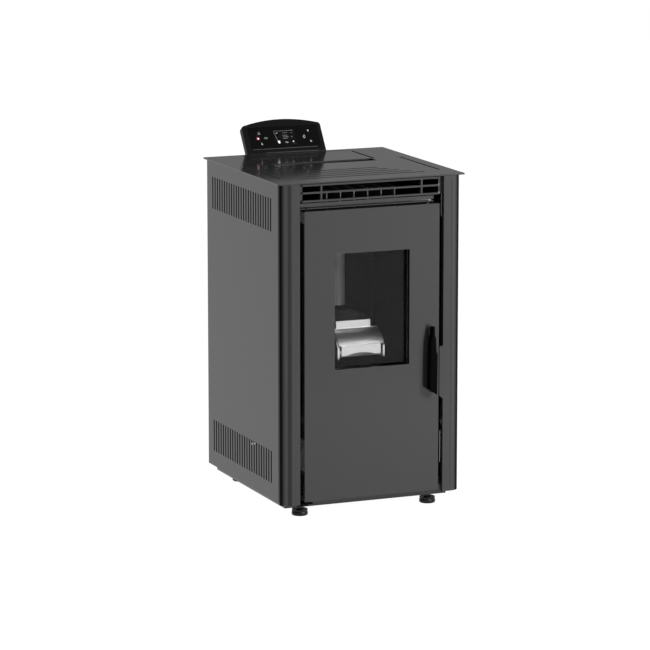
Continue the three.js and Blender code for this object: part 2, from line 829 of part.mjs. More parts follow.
function augerScrew() {
  const from = augerHead + 10;
  const to = AUGER_L - augerCap - 8;
  const turns = (to - from) / AUGER_PITCH;
  const steps = Math.round(turns * 10);
  const outer = AUGER_R - AUGER_WALL - 1.5;
  const inner = AUGER_SHAFT_R - 1;
  const rings = [];
  for (let i = 0; i <= steps; i++) {
    const angle = (i / steps) * turns * 2 * Math.PI;
    const z = from + ((to - from) * i) / steps;
    const at = (r, dz) => [r * Math.cos(angle), r * Math.sin(angle), z + dz];
    const half = AUGER_FLIGHT_T / 2;
    rings.push([at(inner, half), at(outer, half), at(outer, -half), at(inner, -half)]);
  }
  const shaft = new THREE.CylinderGeometry(AUGER_SHAFT_R, AUGER_SHAFT_R, 1, 20);
  const shaftTop = augerHead + 5;
  const shaftEnd = AUGER_L + GEARBOX_L - 10;
  shaft.scale(1, shaftEnd - shaftTop, 1).rotateX(Math.PI / 2);
  shaft.translate(0, 0, (shaftTop + shaftEnd) / 2);
  return lofted(rings).add(solid(shaft));
}

function gearmotor() {
  const start = AUGER_L + SEAT;
  return cut(
    joined(
      augerRod(GEARBOX_R, start, start + GEARBOX_L, 6),
      augerRod(MOTOR_R, start + GEARBOX_L - 1, start + GEARBOX_L + MOTOR_L, 20),
    ),
    augerRod(AUGER_SHAFT_R + RUN, start - 1, AUGER_L + GEARBOX_L - 9, 20),
  );
}

// The drop tube that hangs over the burn pot.
function pelletChute() {
  const top = AUGER_TOP_Z + 10;
  return cut(
    rod("z", CHUTE_R, CHUTE_LOW, top, [0, CHUTE_Y], 28),
    rod("z", CHUTE_R - CHUTE_T, CHUTE_LOW - 1, top + 1, [0, CHUTE_Y], 20),
    augerRod(AUGER_R + SEAT, augerHead - 10, AUGER_L),
  );
}

add("hopper_lid", hopperLid(), PAINT);
add("hopper", hopperShell(), GALVANISED);
add("hopper_guard", hopperGuard(), STAINLESS);
add("auger_tube", augerTube(), GALVANISED);
const screw = add("auger_screw", augerScrew(), CAST);
screw.applyMatrix4(augerPlace);
add("auger_gearmotor", gearmotor(), CAST);
add("pellet_chute", pelletChute(), FIREBOX_PAINT);

// ---------------------------------------------------------------- fire ----
const fireOuterX = FIRE_X + FIRE_T;
const fireBackOut = FIRE_BACK + FIRE_T;

function fireboxShell() {
  const flange = box(
    [-FIRE_X - FIRE_FLANGE, FIRE_X + FIRE_FLANGE],
    [FIRE_FRONT, FIRE_FRONT + FIRE_T],
    [FIRE_LOW - FIRE_FLANGE, FIRE_HIGH + FIRE_FLANGE],
  );
  const shell = box(
    [-fireOuterX, fireOuterX],
    [FIRE_FRONT, fireBackOut],
    [FIRE_LOW - FIRE_T, FIRE_HIGH + FIRE_T],
  );
  const through = [FIRE_BACK - 1, fireBackOut + 1];
  return cut(
    joined(flange, shell),
    box([-FIRE_X, FIRE_X], [FIRE_FRONT - 1, FIRE_BACK], [FIRE_LOW, FIRE_HIGH]),
    augerRod(AUGER_R + SEAT, augerHead, AUGER_L),
    rod("y", INLET_R + SEAT, ...through, [BLOWER_X, BLOWER_Z]),
    rod("y", INTAKE_R + SEAT, ...through, [0, INTAKE_Z], INTAKE_SIDES),
    rod("y", IGNITER_R + SEAT, ...through, [IGNITER_X, IGNITER_Z], 12),
  );
}

// The fins in the warm air path over the firebox, welded to one base plate.
function heatExchanger() {
  const low = FIRE_HIGH + FIRE_T + SEAT;
  const base = box([-96, 96], [FIN_FRONT - 8, fireBackOut], [low, low + FIN_T]);
  const fins = [];
  const round = 5;
  for (let i = 0; i < FINS; i++) {
    const x = (i - (FINS - 1) / 2) * FIN_PITCH;
    const side = new THREE.Shape();
    side.moveTo(FIN_FRONT, low + 1);
    side.lineTo(fireBackOut, low + 1);
    side.lineTo(fireBackOut, FIN_TOP);
    side.lineTo(FIN_FRONT + round, FIN_TOP);
    side.absarc(FIN_FRONT + round, FIN_TOP - round, round, Math.PI / 2, Math.PI, false);
    fins.push(prism(side, "x", x - FIN_T / 2, x + FIN_T / 2, 4));
  }
  return joined(base, ...fins);
}

// The open stand between the base tray and the firebox.
function fireboxStand() {
  const y = [FIRE_FRONT + 14, FIRE_BACK - 4];
  const z = [trayFloor + SEAT, FIRE_LOW - FIRE_T - SEAT];
  const windowZ = [z[0] + 30, z[1] - 26];
  return cut(
    box([-STAND_X, STAND_X], y, z),
    box([-STAND_X + STAND_T, STAND_X - STAND_T], [y[0] + STAND_T, y[1] - STAND_T], [z[0] - 1, z[1] + 1]),
    box([-STAND_X - 1, STAND_X + 1], [y[0] + 24, y[1] - 24], windowZ),
    box([-STAND_X + 22, STAND_X - 22], [y[0] - 1, y[1] + 1], windowZ),
  );
}

function bafflePlate() {
  const x = FIRE_X - SEAT;
  return box([-x, x], [60, 165], [604, 612]);
}

const potFloorLow = POT_FLOOR - POT_T;

function burnPot() {
  const wall = (inset) =>
    roundRect(
      new THREE.Shape(),
      [-POT_X + inset, POT_X - inset],
      [POT_FRONT + inset, POT_BACK - inset],
      POT_CORNER - inset,
    );
  const rim = roundRect(new THREE.Shape(), [-POT_X - 3, POT_X + 3], [POT_FRONT - 2, POT_BACK + 2], 4);
  let pot = joined(
    prism(wall(0), "z", potFloorLow, POT_TOP, 5),
    prism(rim, "z", POT_RIM_Z, POT_RIM_Z + 1.8, 3),
  );
  pot = pot.subtract(prism(wall(POT_T), "z", POT_FLOOR, POT_TOP + 1, 5));
  const holePitch = 24;
  for (let column = -1; column <= 1; column++) {
    for (let row = 0; row < 4; row++) {
      const at = [column * holePitch, POT_FRONT + 28 + row * holePitch];
      pot = pot.subtract(rod("z", 3, potFloorLow - 1, POT_FLOOR + 1, at, 8));
    }
  }
  return pot;
}

// The holder: a plenum box on the firebox back wall, with a curved nose and an
// arched apron in front.
function potHolder() {
  const back = FIRE_BACK - SEAT;
  const nose = (inset) => {
    const curve = new THREE.QuadraticBezierCurve(
      new THREE.Vector2(HOLDER_FRONT + inset, APRON_HIGH - inset),
      new THREE.Vector2(HOLDER_FRONT + 8 + inset, HOLDER_TOP - 8 - inset),
      new THREE.Vector2(POT_FRONT - 0.5, HOLDER_TOP - inset),
    );
    return curve.getPoints(8).map((p) => [p.x, p.y]);
  };
  const cheek = outline([
    [HOLDER_FRONT, HOLDER_LOW],
    [HOLDER_FRONT, APRON_HIGH - 4.5],
    ...nose(2),
    [back, HOLDER_TOP - 2],
    [back, PLENUM_LOW],
    [PLENUM_FRONT, PLENUM_LOW],
    [PLENUM_FRONT, HOLDER_LOW],
  ]);
  const inner = HOLDER_X - HOLDER_T;
  const noseSheet = outline([...nose(0), ...nose(2).reverse()]);
  const apron = new THREE.Shape();
  const archHalf = APRON_X - 12;
  apron.moveTo(-APRON_X, APRON_LOW);
  apron.lineTo(-archHalf, APRON_LOW);
  apron.quadraticCurveTo(0, APRON_LOW + 2 * APRON_ARCH, archHalf, APRON_LOW);
  apron.lineTo(APRON_X, APRON_LOW);
  apron.lineTo(APRON_X, APRON_HIGH);
  apron.lineTo(-APRON_X, APRON_HIGH);
  const topHole = [-POT_X - 0.6, POT_X + 0.6];
  return cut(
    joined(
      prism(cheek, "x", inner, HOLDER_X),
      prism(cheek, "x", -HOLDER_X, -inner),
      prism(noseSheet, "x", -inner - 1, inner + 1),
      prism(apron, "y", HOLDER_FRONT, HOLDER_FRONT + 2.5, 10),
      box([-HOLDER_X, HOLDER_X], [POT_FRONT - 1, back], [HOLDER_TOP - 2, HOLDER_TOP]),
      box([-inner - 1, inner + 1], [HOLDER_FRONT + 24, PLENUM_FRONT + 2], [HOLDER_LOW, HOLDER_LOW + 2]),
      box([-inner - 1, inner + 1], [PLENUM_FRONT, PLENUM_FRONT + 2], [PLENUM_LOW, HOLDER_LOW + 2]),
      box([-inner - 1, inner + 1], [PLENUM_FRONT, back], [PLENUM_LOW, PLENUM_LOW + 2]),
      box([-inner - 1, inner + 1], [HOLDER_FRONT + 24, HOLDER_FRONT + 26], [HOLDER_LOW, HOLDER_TOP - 14]),
      box([-inner - 1, inner + 1], [back - 2, back], [PLENUM_LOW, HOLDER_TOP]),
    ),
    box(topHole, [POT_FRONT - 0.6, POT_BACK + 0.6], [HOLDER_TOP - 3, HOLDER_TOP + 1]),
    rod("y", INTAKE_R + SEAT, back - 3, back + 1, [0, INTAKE_Z], INTAKE_SIDES),
    rod("y", IGNITER_R + SEAT, back - 3, back + 1, [IGNITER_X, IGNITER_Z], 12),
  );
}

function igniter() {
  const at = [IGNITER_X, IGNITER_Z];
  return joined(
    rod("y", IGNITER_R, POT_BACK + 2.6, fireBackOut + 40, at, 12),
    rod("y", IGNITER_R + 4, fireBackOut + SEAT, fireBackOut + 7, at, 6),
  );
}

function ashDrawer() {
  const low = FIRE_LOW + SEAT;
  const high = low + DRAWER_H;
  return joined(
    cut(
      box([-DRAWER_X, DRAWER_X], [DRAWER_FRONT, DRAWER_BACK], [low, high]),
      box(
        [-DRAWER_X + DRAWER_T, DRAWER_X - DRAWER_T],
        [DRAWER_FRONT + DRAWER_T, DRAWER_BACK - DRAWER_T],
        [low + DRAWER_T, high + 1],
      ),
    ),
    box([-32, 32], [DRAWER_FRONT - 12, DRAWER_FRONT + 1], [high - 14, high - 14 + 2]),
    box([-32, 32], [DRAWER_FRONT - 12, DRAWER_FRONT - 10], [high - 22, high - 13]),
  );
}

add("firebox_shell", fireboxShell(), FIREBOX_PAINT);
add("heat_exchanger", heatExchanger(), FIREBOX_PAINT);
add("firebox_stand", fireboxStand(), GALVANISED);
add("baffle_plate", bafflePlate(), CERAMIC);
add("burn_pot", burnPot(), STAINLESS);
add("pot_holder", potHolder(), STAINLESS);
add("igniter", igniter(), STAINLESS);
add("ash_drawer", ashDrawer(), GALVANISED);

// ----------------------------------------------------------- fire door ----
function doorPanel() {
  const sheet = roundRect(new THREE.Shape(), [-DOOR_X, DOOR_X], [DOOR_BOTTOM, DOOR_TOP], 2);
  sheet.holes.push(
    roundRect(new THREE.Path(), [-WINDOW_X, WINDOW_X], [WINDOW_LOW, WINDOW_HIGH], 3),
  );
  const pinHole = HINGE_PIN_R + SEAT;
  return cut(
    joined(
      prism(sheet, "y", 0, DOOR_T, 4),
      frameRing([-DOOR_X, DOOR_X], [DOOR_BOTTOM, DOOR_TOP], SHEET, [DOOR_T / 2, DOOR_D]),
    ),
    rod("z", pinHole, DOOR_BOTTOM - 1, DOOR_BOTTOM + SHEET + 1, [HINGE_X, HINGE_Y], 20),
    rod("z", pinHole, DOOR_TOP - SHEET - 1, DOOR_TOP + 1, [HINGE_X, HINGE_Y], 20),
    rod("y", SHAFT_R + RUN, -1, DOOR_T + 1, [HANDLE_X, HANDLE_PIVOT_Z], 20),
  );
}

const frameBack = FRAME_FRONT + FRAME_T;
const collarX = WINDOW_X + 0.5;
const glassX = WINDOW_X + GLASS_EDGE;
const glassZ = [WINDOW_LOW - GLASS_EDGE, WINDOW_HIGH + GLASS_EDGE];
const gasketBack = frameBack + SEAT + GASKET_T;
const glassFront = gasketBack + SEAT;
const glassBack = glassFront + GLASS_T;
const retainerEdge = 12; // retainer past the glass
const ringOf = (offset) => [
  [-ROPE_X - offset, ROPE_X + offset],
  [ROPE_LOW - offset, ROPE_HIGH + offset],
];

// The inner frame: window collar, spacers to the outer panel, rope channel,
// glass posts, and the hinge lugs with their pins.
function doorFrame() {
  const collarZ = [WINDOW_LOW - 0.5, WINDOW_HIGH + 0.5];
  const plate = rect([-FRAME_X, FRAME_X], [FRAME_LOW, FRAME_HIGH]);
  plate.holes.push(rect([-collarX, collarX], collarZ));
  const lip = 2;
  const spacerR = 6;
  const spacerX = FRAME_X - 12;
  const spacers = [];
  for (const x of [-spacerX, spacerX]) {
    for (const z of [FRAME_LOW + 30, (FRAME_LOW + FRAME_HIGH) / 2 + 20, FRAME_HIGH - 24]) {
      spacers.push(rod("y", spacerR, DOOR_T + SEAT, FRAME_FRONT + 1, [x, z], 8));
    }
  }
  const posts = [];
  const postR = 3.5;
  for (const x of [-glassX - postR - 3, glassX + postR + 3]) {
    for (const z of glassZ) {
      posts.push(rod("y", postR, frameBack - 1, glassBack, [x, z], 8));
    }
  }
  const channel = ROPE_W / 2 + SEAT;
  const ribs = [
    frameRing(...ringOf(channel + ROPE_RIB), ROPE_RIB, [frameBack - 1, frameBack + ROPE_RIB_H], 12),
    frameRing(...ringOf(-channel), ROPE_RIB, [frameBack - 1, frameBack + ROPE_RIB_H], 4),
  ];
  const pinAt = [HINGE_X, HINGE_Y];
  const lugX = [-DOOR_X + SHEET + SEAT, -FRAME_X + 4];
  const lugY = [FRAME_FRONT - 1, HINGE_Y + 6];
  const bracketTop = TRAY_FRONT - 2 + SEAT + 3;
  const pins = [
    box(lugX, lugY, [FRAME_HIGH - 25, FRAME_HIGH]),
    rod("z", HINGE_PIN_R, FRAME_HIGH - 10, RAIL_Z[2] - 2 * SEAT, pinAt, 20),
    box(lugX, lugY, [FRAME_LOW, FRAME_LOW + 25]),
    rod("z", HINGE_PIN_R, bracketTop - 4, FRAME_LOW + 10, pinAt, 20),
    rod("z", HINGE_PIN_R + 3, bracketTop, DOOR_BOTTOM - SEAT, pinAt, 20),
  ];
  return cut(
    joined(
      prism(plate, "y", FRAME_FRONT, frameBack),
      frameRing(
        [-collarX - lip, collarX + lip],
        [collarZ[0] - lip, collarZ[1] + lip],
        lip,
        [DOOR_T + SEAT, FRAME_FRONT + 1],
      ),
      ...spacers,
      ...posts,
      ...ribs,
      ...pins,
    ),
    rod("y", SHAFT_R + RUN, FRAME_FRONT - 1, frameBack + 1, [HANDLE_X, HANDLE_PIVOT_Z], 20),
  );
}

function doorRope() {
  return frameRing(...ringOf(ROPE_W / 2), ROPE_W, [frameBack + SEAT, FIRE_FRONT - SEAT], 12);
}

// The handle: a tapered black grip, narrow at the top and cut at a slant below.
function doorHandle() {
  const grip = outline([
    [-8.5, -29],
    [5.5, -40.5],
    [5.5, 46],
    [2.5, 52],
    [1.5, 80],
    [-1.5, 90],
    [-1.5, 105],
    [-2, 105],
    [-2.5, 88],
    [-6.5, 76],
    [-8, 30],
  ].map(([x, z]) => [HANDLE_X + x, HANDLE_PIVOT_Z + z]));
  const bevelled = new THREE.ExtrudeGeometry(grip, {
    depth: HANDLE_BACK - HANDLE_FRONT - 2 * HANDLE_ROUND,
    bevelThickness: HANDLE_ROUND,
    bevelSize: HANDLE_ROUND,
    bevelSegments: 3,
  });
  bevelled.translate(0, 0, -HANDLE_BACK + HANDLE_ROUND);
  return cut(
    solid(bevelled, ALONG.y),
    rod("y", SHAFT_R + SEAT, HANDLE_FRONT + 7, HANDLE_BACK + 1, [HANDLE_X, HANDLE_PIVOT_Z], 20),
  );
}

// The latch shaft with its collar and the cam that turns behind the keeper.
function latchShaft() {
  const at = [HANDLE_X, HANDLE_PIVOT_Z];
  const camEnd = CAM_FRONT + CAM_T;
  return joined(
    rod("y", SHAFT_R, HANDLE_FRONT + 7.5, camEnd, at, 20),
    rod("y", SHAFT_R + 3, HANDLE_BACK + SEAT, -SEAT, at, 20),
    box(
      [HANDLE_X - CAM_W / 2, HANDLE_X + CAM_W / 2],
      [CAM_FRONT, camEnd],
      [HANDLE_PIVOT_Z - SHAFT_R, HANDLE_PIVOT_Z + CAM_R],
    ),
  );
}

function latchKeeper() {
  const behind = FIRE_FRONT + FIRE_T + SEAT;
  const [low, shoulder, high] = KEEPER_Z;
  return joined(
    box([FIRE_X + FIRE_T + 6, KEEPER_X[1]], [behind, behind + TRAY_T], [low - 14, shoulder]),
    box(KEEPER_X, [KEEPER_FRONT, behind + TRAY_T], [low, shoulder]),
    box(KEEPER_X, [KEEPER_FRONT, KEEPER_FRONT + KEEPER_T], [low, high]),
  );
}

// The bracket on the tray that carries the lower hinge pin.
function lowerHingeBracket() {
  const plateLow = TRAY_FRONT - 2;
  return cut(
    joined(
      box([HINGE_X - 12, HINGE_X + 14], [HINGE_Y - 8, TRAY_FRONT - SEAT], [plateLow, plateLow + 3]),
      box([HINGE_X - 12, HINGE_X + 14], [TRAY_FRONT - SEAT - TRAY_T, TRAY_FRONT - SEAT], [TRAY_BOTTOM + 2, plateLow + 3]),
    ),
    rod("z", HINGE_PIN_R + SEAT, plateLow - 1, plateLow + 4, [HINGE_X, HINGE_Y], 20),
  );
}

add("door_panel", doorPanel(), PAINT);
add("door_frame", doorFrame(), BLACK_PAINT);
add(
  "glass_gasket",
  frameRing([-glassX + 1, glassX - 1], [glassZ[0] + 1, glassZ[1] - 1], 9.5, [frameBack + SEAT, gasketBack]),
  ROPE,
);
add("door_glass", box([-glassX, glassX], [glassFront, glassBack], glassZ), GLASS);
add(
  "glass_retainer",
  frameRing(
    [-glassX - retainerEdge, glassX + retainerEdge],
    [glassZ[0] - retainerEdge, glassZ[1] + retainerEdge],
    retainerEdge + 10,
    [glassBack + SEAT, glassBack + SEAT + SHEET],
  ),
  GALVANISED,
);
add("door_rope", doorRope(), ROPE);
add("door_handle", doorHandle(), BLACK_PLASTIC);
add("latch_shaft", latchShaft(), STAINLESS);
add("latch_keeper", latchKeeper(), GALVANISED);
add("lower_hinge_bracket", lowerHingeBracket(), BLACK_PAINT);

// ------------------------------------------------------- exhaust and air ----
const blowerAt = [BLOWER_X, BLOWER_Z];
const blowerLow = BLOWER_Z - BLOWER_R;

// A scroll outline around the wheel, drawn in by an inset.
function scroll(inset, end) {
  const shape = new THREE.Shape();
  const r = BLOWER_R - inset;
  shape.moveTo(BLOWER_X, blowerLow + inset);
  shape.lineTo(end, blowerLow + inset);
  shape.lineTo(end, DUCT_TOP - inset);
  const lift = DUCT_TOP - inset - BLOWER_Z;
  const start = Math.asin(lift / r);
  shape.lineTo(BLOWER_X + r * Math.cos(start), DUCT_TOP - inset);
  shape.absarc(BLOWER_X, BLOWER_Z, r, start, 1.5 * Math.PI, false);
  return shape;
}

function exhaustHousing() {
  const t = BLOWER_T;
  return cut(
    joined(
      prism(scroll(0, DUCT_X), "y", BLOWER_FRONT, BLOWER_BACK, 28),
      rod("y", INLET_R, FIRE_BACK + SEAT, BLOWER_FRONT + 1, blowerAt),
    ),
    prism(scroll(t, DUCT_X + 1), "y", BLOWER_FRONT + t, BLOWER_BACK - t, 24),
    rod("y", INLET_R - t, FIRE_BACK, BLOWER_FRONT + t + 1, blowerAt),
    rod("y", 4 + RUN, BLOWER_BACK - t - 1, BLOWER_BACK + 1, blowerAt, 16),
  );
}

function exhaustImpeller() {
  const disc = [BLOWER_BACK - 10, BLOWER_BACK - 8];
  const blades = [];
  for (let i = 0; i < WHEEL_BLADES; i++) {
    const blade = new THREE.BoxGeometry(WHEEL_R - 12, 26, 2);
    blade.translate((WHEEL_R + 12) / 2 - 1, 0, 0).rotateY((i / WHEEL_BLADES) * 2 * Math.PI);
    blade.translate(BLOWER_X, disc[0] - 12, BLOWER_Z);
    blades.push(solid(blade));
  }
  return joined(
    rod("y", WHEEL_R, ...disc, blowerAt, 28),
    rod("y", 12, disc[0] - 20, disc[1], blowerAt, 16),
    rod("y", 4, disc[1] - 1, BLOWER_BACK + 22, blowerAt, 12),
    ...blades,
  );
}

function exhaustMotor() {
  const start = BLOWER_BACK + SEAT;
  return cut(
    joined(
      rod("y", 34, start, start + 6, blowerAt, 24),
      rod("y", 26, start + 5, start + 46, blowerAt, 24),
    ),
    rod("y", 4 + RUN, start - 1, BLOWER_BACK + 24, blowerAt, 12),
  );
}

// The box that turns the exhaust to the back, with the flue spigot on it.
function flueBox() {
  const x = [DUCT_X + SEAT, FLUE_BOX_X];
  const y = [BLOWER_FRONT, BLOWER_BACK];
  const z = [blowerLow, FLUE_BOX_TOP];
  const t = FLUE_T;
  return cut(
    joined(
      box(x, y, z),
      rod("y", FLUE_R, y[1] - 1, FLUE_END, [FLUE_X, FLUE_Z], FLUE_SIDES),
      rod("y", FLUE_R + 2, FLUE_END - 6, FLUE_END, [FLUE_X, FLUE_Z], FLUE_SIDES),
    ),
    box([x[0] + t, x[1] - t], [y[0] + t, y[1] - t], [z[0] + t, z[1] - t]),
    box([x[0] - 1, x[0] + t + 1], [y[0] + BLOWER_T, y[1] - BLOWER_T], [z[0] + BLOWER_T, DUCT_TOP - BLOWER_T]),
    rod("y", FLUE_R - t, y[1] - t - 1, FLUE_END + 1, [FLUE_X, FLUE_Z], FLUE_SIDES),
  );
}

function airIntake() {
  const at = [0, INTAKE_Z];
  const start = POT_BACK + 4;
  return cut(
    joined(
      rod("y", INTAKE_R, start, INTAKE_END, at, INTAKE_SIDES),
      rod("y", INTAKE_R + FLUE_T, INTAKE_END - 5, INTAKE_END, at, INTAKE_SIDES),
    ),
    rod("y", INTAKE_R - FLUE_T, start - 1, INTAKE_END + 1, at, INTAKE_SIDES),
  );
}

// The room fan: a cross-flow drum in a scroll that blows up the front.
function roomFanHousing() {
  const t = SHEET;
  const at = [FAN_Y, FAN_Z];
  const mouth = [FAN_Y - 92, FAN_Y];
  const top = FAN_Z + FAN_SHELL_R;
  const outer = joined(
    rod("x", FAN_SHELL_R, ...FAN_X, at, 28),
    box(FAN_X, mouth, [FAN_Z, top]),
  );
  const innerX = [FAN_X[0] + t, FAN_X[1] - t];
  const inner = joined(
    rod("x", FAN_SHELL_R - t, ...innerX, at, 28),
    box(innerX, [mouth[0] - 1, mouth[1]], [FAN_Z + t, top - t]),
  );
  const intake = box(innerX, [FAN_Y, FAN_Y + FAN_SHELL_R + 1], [FAN_Z - FAN_SHELL_R - 1, FAN_Z + 10]);
  const legs = FAN_X.map((x, i) =>
    box(i ? [x - t, x] : [x, x + t], [FAN_Y - 24, FAN_Y + 24], [trayFloor + SEAT, FAN_Z - 10]),
  );
  return cut(
    joined(outer, ...legs),
    inner,
    intake,
    rod("x", 3 + RUN, FAN_X[0] - 1, FAN_X[1] + 1, at, 12),
  );
}

function roomFanRotor() {
  const at = [FAN_Y, FAN_Z];
  const drum = [FAN_X[0] + 6, FAN_X[1] - 6];
  const blades = [];
  for (let i = 0; i < FAN_BLADES; i++) {
    const blade = new THREE.BoxGeometry(drum[1] - drum[0], 1.5, 8);
    blade.rotateX(0.5).translate((drum[0] + drum[1]) / 2, 0, FAN_R - 5);
    blade.rotateX((i / FAN_BLADES) * 2 * Math.PI).translate(0, ...at);
    blades.push(solid(blade));
  }
  const disc = (x) => rod("x", FAN_R, x, x + 2, at, 24);
  return joined(
    disc(drum[0]),
    disc(drum[1] - 2),
    rod("x", 3, FAN_X[0] - 3, FAN_X[1] + 20, at, 12),
    ...blades,
  );
}

function roomFanMotor() {
  const at = [FAN_Y, FAN_Z];
  const start = FAN_X[1] + SEAT;
  return cut(
    rod("x", 26, start, start + FAN_MOTOR_L, at, 20),
    rod("x", 3 + RUN, start - 1, FAN_X[1] + 22, at, 12),
  );
}

add("exhaust_housing", exhaustHousing(), CAST);
add("exhaust_impeller", exhaustImpeller(), STAINLESS);
add("exhaust_motor", exhaustMotor(), CAST);
add("flue_box", flueBox(), GALVANISED);
add("air_intake", airIntake(), GALVANISED);
add("room_fan_housing", roomFanHousing(), GALVANISED);
add("room_fan_rotor", roomFanRotor(), GALVANISED);
add("room_fan_motor", roomFanMotor(), CAST);

// -------------------------------------------------------- control unit ----
// Its group stands on the back edge of the top plate and leans back.
const control = new THREE.Group();
control.position.set(CONTROL_X, CONTROL_Y, PLATE_TOP + 2 * SEAT);
control.rotation.x = -rad(CONTROL_TILT);
control.updateMatrix();
stove.add(control);
const intoControl = control.matrix.clone().invert();
const pocketX = PANEL_HALF + SEAT;
const pocketZ = [PANEL_LOW - SEAT, PANEL_HIGH + SEAT];

function controlHousing() {
  const face = new THREE.Shape();
  const half = CONTROL_HALF;
  const r = CONTROL_ROUND;
  face.moveTo(-half + 2, 0);
  face.lineTo(half - 2, 0);
  face.lineTo(half, 2);
  face.lineTo(half, CONTROL_SIDE - r);
  face.quadraticCurveTo(half, CONTROL_SIDE, half - r, CONTROL_SIDE + 1);
  face.quadraticCurveTo(0, 2 * CONTROL_PEAK - CONTROL_SIDE - 1, -half + r, CONTROL_SIDE + 1);
  face.quadraticCurveTo(-half, CONTROL_SIDE, -half, CONTROL_SIDE - r);
  face.lineTo(-half, 2);
  const head = new THREE.ExtrudeGeometry(face, {
    depth: CONTROL_D - 3,
    bevelThickness: 1.5,
    bevelSize: 1.5,
    bevelOffset: -1.5,
    bevelSegments: 2,
    curveSegments: 14,
  });
  head.translate(0, 0, -CONTROL_D + 1.5);
  const underPlate = PLATE_TOP - PLATE_T - 2 * SEAT;
  const behindPlate = PLATE_D + SEAT;
  const behindCase = CASE_BACK + SEAT;
  const footHalf = half - 22;
  const shoulder = Math.max(behindCase + 30, behindPlate + 24);
  const foot = prism(
    outline([
      [behindPlate, PLATE_TOP + 10],
      [behindPlate, underPlate],
      [behindCase, underPlate],
      [behindCase, underPlate - 34],
      [behindCase + 9, underPlate - 34],
      [shoulder - 8, PLATE_TOP + 4],
      [shoulder, PLATE_TOP + 18],
      [behindPlate + 14, PLATE_TOP + 26],
    ]),
    "x",
    CONTROL_X - footHalf,
    CONTROL_X + footHalf,
  );
  const plateSpace = box(
    [CONTROL_X - half - 5, CONTROL_X + half + 5],
    [PLATE_D - 60, behindPlate],
    [underPlate, PLATE_TOP + SEAT],
  );
  return cut(
    joined(solid(head, ALONG.y), foot.transform(intoControl.elements)),
    box([-pocketX, pocketX], [-1, CONTROL_POCKET_D], pocketZ),
    plateSpace.transform(intoControl.elements),
  );
}

function controlPanel() {
  const sheet = rect([-PANEL_HALF, PANEL_HALF], [PANEL_LOW, PANEL_HIGH]);
  sheet.holes.push(
    rect(
      [DISPLAY_X[0] - SEAT, DISPLAY_X[1] + SEAT],
      [DISPLAY_Z[0] - SEAT, DISPLAY_Z[1] + SEAT],
    ),
  );
  for (const [x, z] of Object.values(KEY_PLACES)) {
    const path = new THREE.Path();
    path.absarc(x, z, KEY_R + SEAT, 0, 2 * Math.PI, true);
    sheet.holes.push(path);
  }
  return prism(sheet, "y", PANEL_SINK, PANEL_SINK + PANEL_T, 8);
}

const boardFront = PANEL_SINK + PANEL_T + 4;

function controlBoard() {
  const pegs = [];
  const pegX = PANEL_HALF - 8;
  for (const x of [-pegX, pegX]) {
    for (const z of [PANEL_LOW + 7, PANEL_HIGH - 7]) {
      pegs.push(rod("y", 2.5, boardFront + 1, CONTROL_POCKET_D - SEAT, [x, z], 8));
    }
  }
  return joined(
    box(
      [-PANEL_HALF + 3, PANEL_HALF - 3],
      [boardFront, boardFront + 1.6],
      [PANEL_LOW + 3, PANEL_HIGH - 3],
    ),
    ...pegs,
  );
}

// A push key with the collar that stops it behind the panel.
function key() {
  const panelBack = PANEL_SINK + PANEL_T;
  const profile = [
    [0, 0.4],
    [KEY_R - 0.6, 0.4],
    [KEY_R, 1],
    [KEY_R, panelBack + SEAT],
    [KEY_R + 1.2, panelBack + SEAT],
    [KEY_R + 1.2, panelBack + 1],
    [2, panelBack + 1],
    [2, boardFront - KEY_TRAVEL - SEAT],
    [0, boardFront - KEY_TRAVEL - SEAT],
  ];
  const points = profile.map(([r, y]) => new THREE.Vector2(r, y));
  return solid(new THREE.LatheGeometry(points, 12));
}

add("control_housing", controlHousing(), BLACK_PLASTIC, control);
add("control_panel", controlPanel(), BLACK_PLASTIC, control);
add(
  "display",
  box(DISPLAY_X, [PANEL_SINK - 0.3, boardFront - SEAT], DISPLAY_Z),
  LENS,
  control,
);
add("control_board", controlBoard(), BOARD, control);
for (const [name, [x, z]] of Object.entries(KEY_PLACES)) {
  add(name, key(), BLACK_PLASTIC, control).position.set(x, 0, z);
}

// -------------------------------------------------------- electrics ----
function pressureSwitch() {
  const x = CASE_X - SHEET - SEAT;
  const at = [PRESSURE_Y, PRESSURE_Z];
  return joined(
    rod("x", 20, x - 14, x, at, 20),
    rod("x", 12, x - 24, x - 13, at, 16),
    rod("x", 3, x - 36, x - 23, at, 10),
  );
}

// The mains socket and the frame of the rocker switch, in one moulding.
const inletFace = CASE_BACK + SEAT + 2;

function powerInlet() {
  const z = [SOCKET_Z - SOCKET_H / 2, SWITCH_Z + SWITCH_H / 2];
  const x = [INLET_X - INLET_W / 2, INLET_X + INLET_W / 2];
  const shell = joined(
    box(x, [CASE_BACK - INLET_D, CASE_BACK + 1], z),
    box(
      [x[0] - INLET_FLANGE, x[1] + INLET_FLANGE],
      [CASE_BACK + SEAT, inletFace],
      [z[0] - INLET_FLANGE, z[1] + INLET_FLANGE],
    ),
  );
  const socket = box(
    [INLET_X - SOCKET_W / 2, INLET_X + SOCKET_W / 2],
    [inletFace - 16, inletFace + 1],
    [SOCKET_Z - SOCKET_H / 2 + 2, SOCKET_Z + SOCKET_H / 2],
  );
  const well = box(
    [INLET_X - SWITCH_W / 2, INLET_X + SWITCH_W / 2],
    [inletFace - 12, inletFace + 1],
    [SWITCH_Z - SWITCH_H / 2 + 1, SWITCH_Z + SWITCH_H / 2 - 1],
  );
  const pins = [-7, 0, 7].map((dx, i) => {
    const pz = SOCKET_Z + (i === 1 ? 3 : -1);
    return box([INLET_X + dx - 1, INLET_X + dx + 1], [inletFace - 17, inletFace - 5], [pz - 2, pz + 2]);
  });
  return joined(cut(shell, socket, well), ...pins);
}

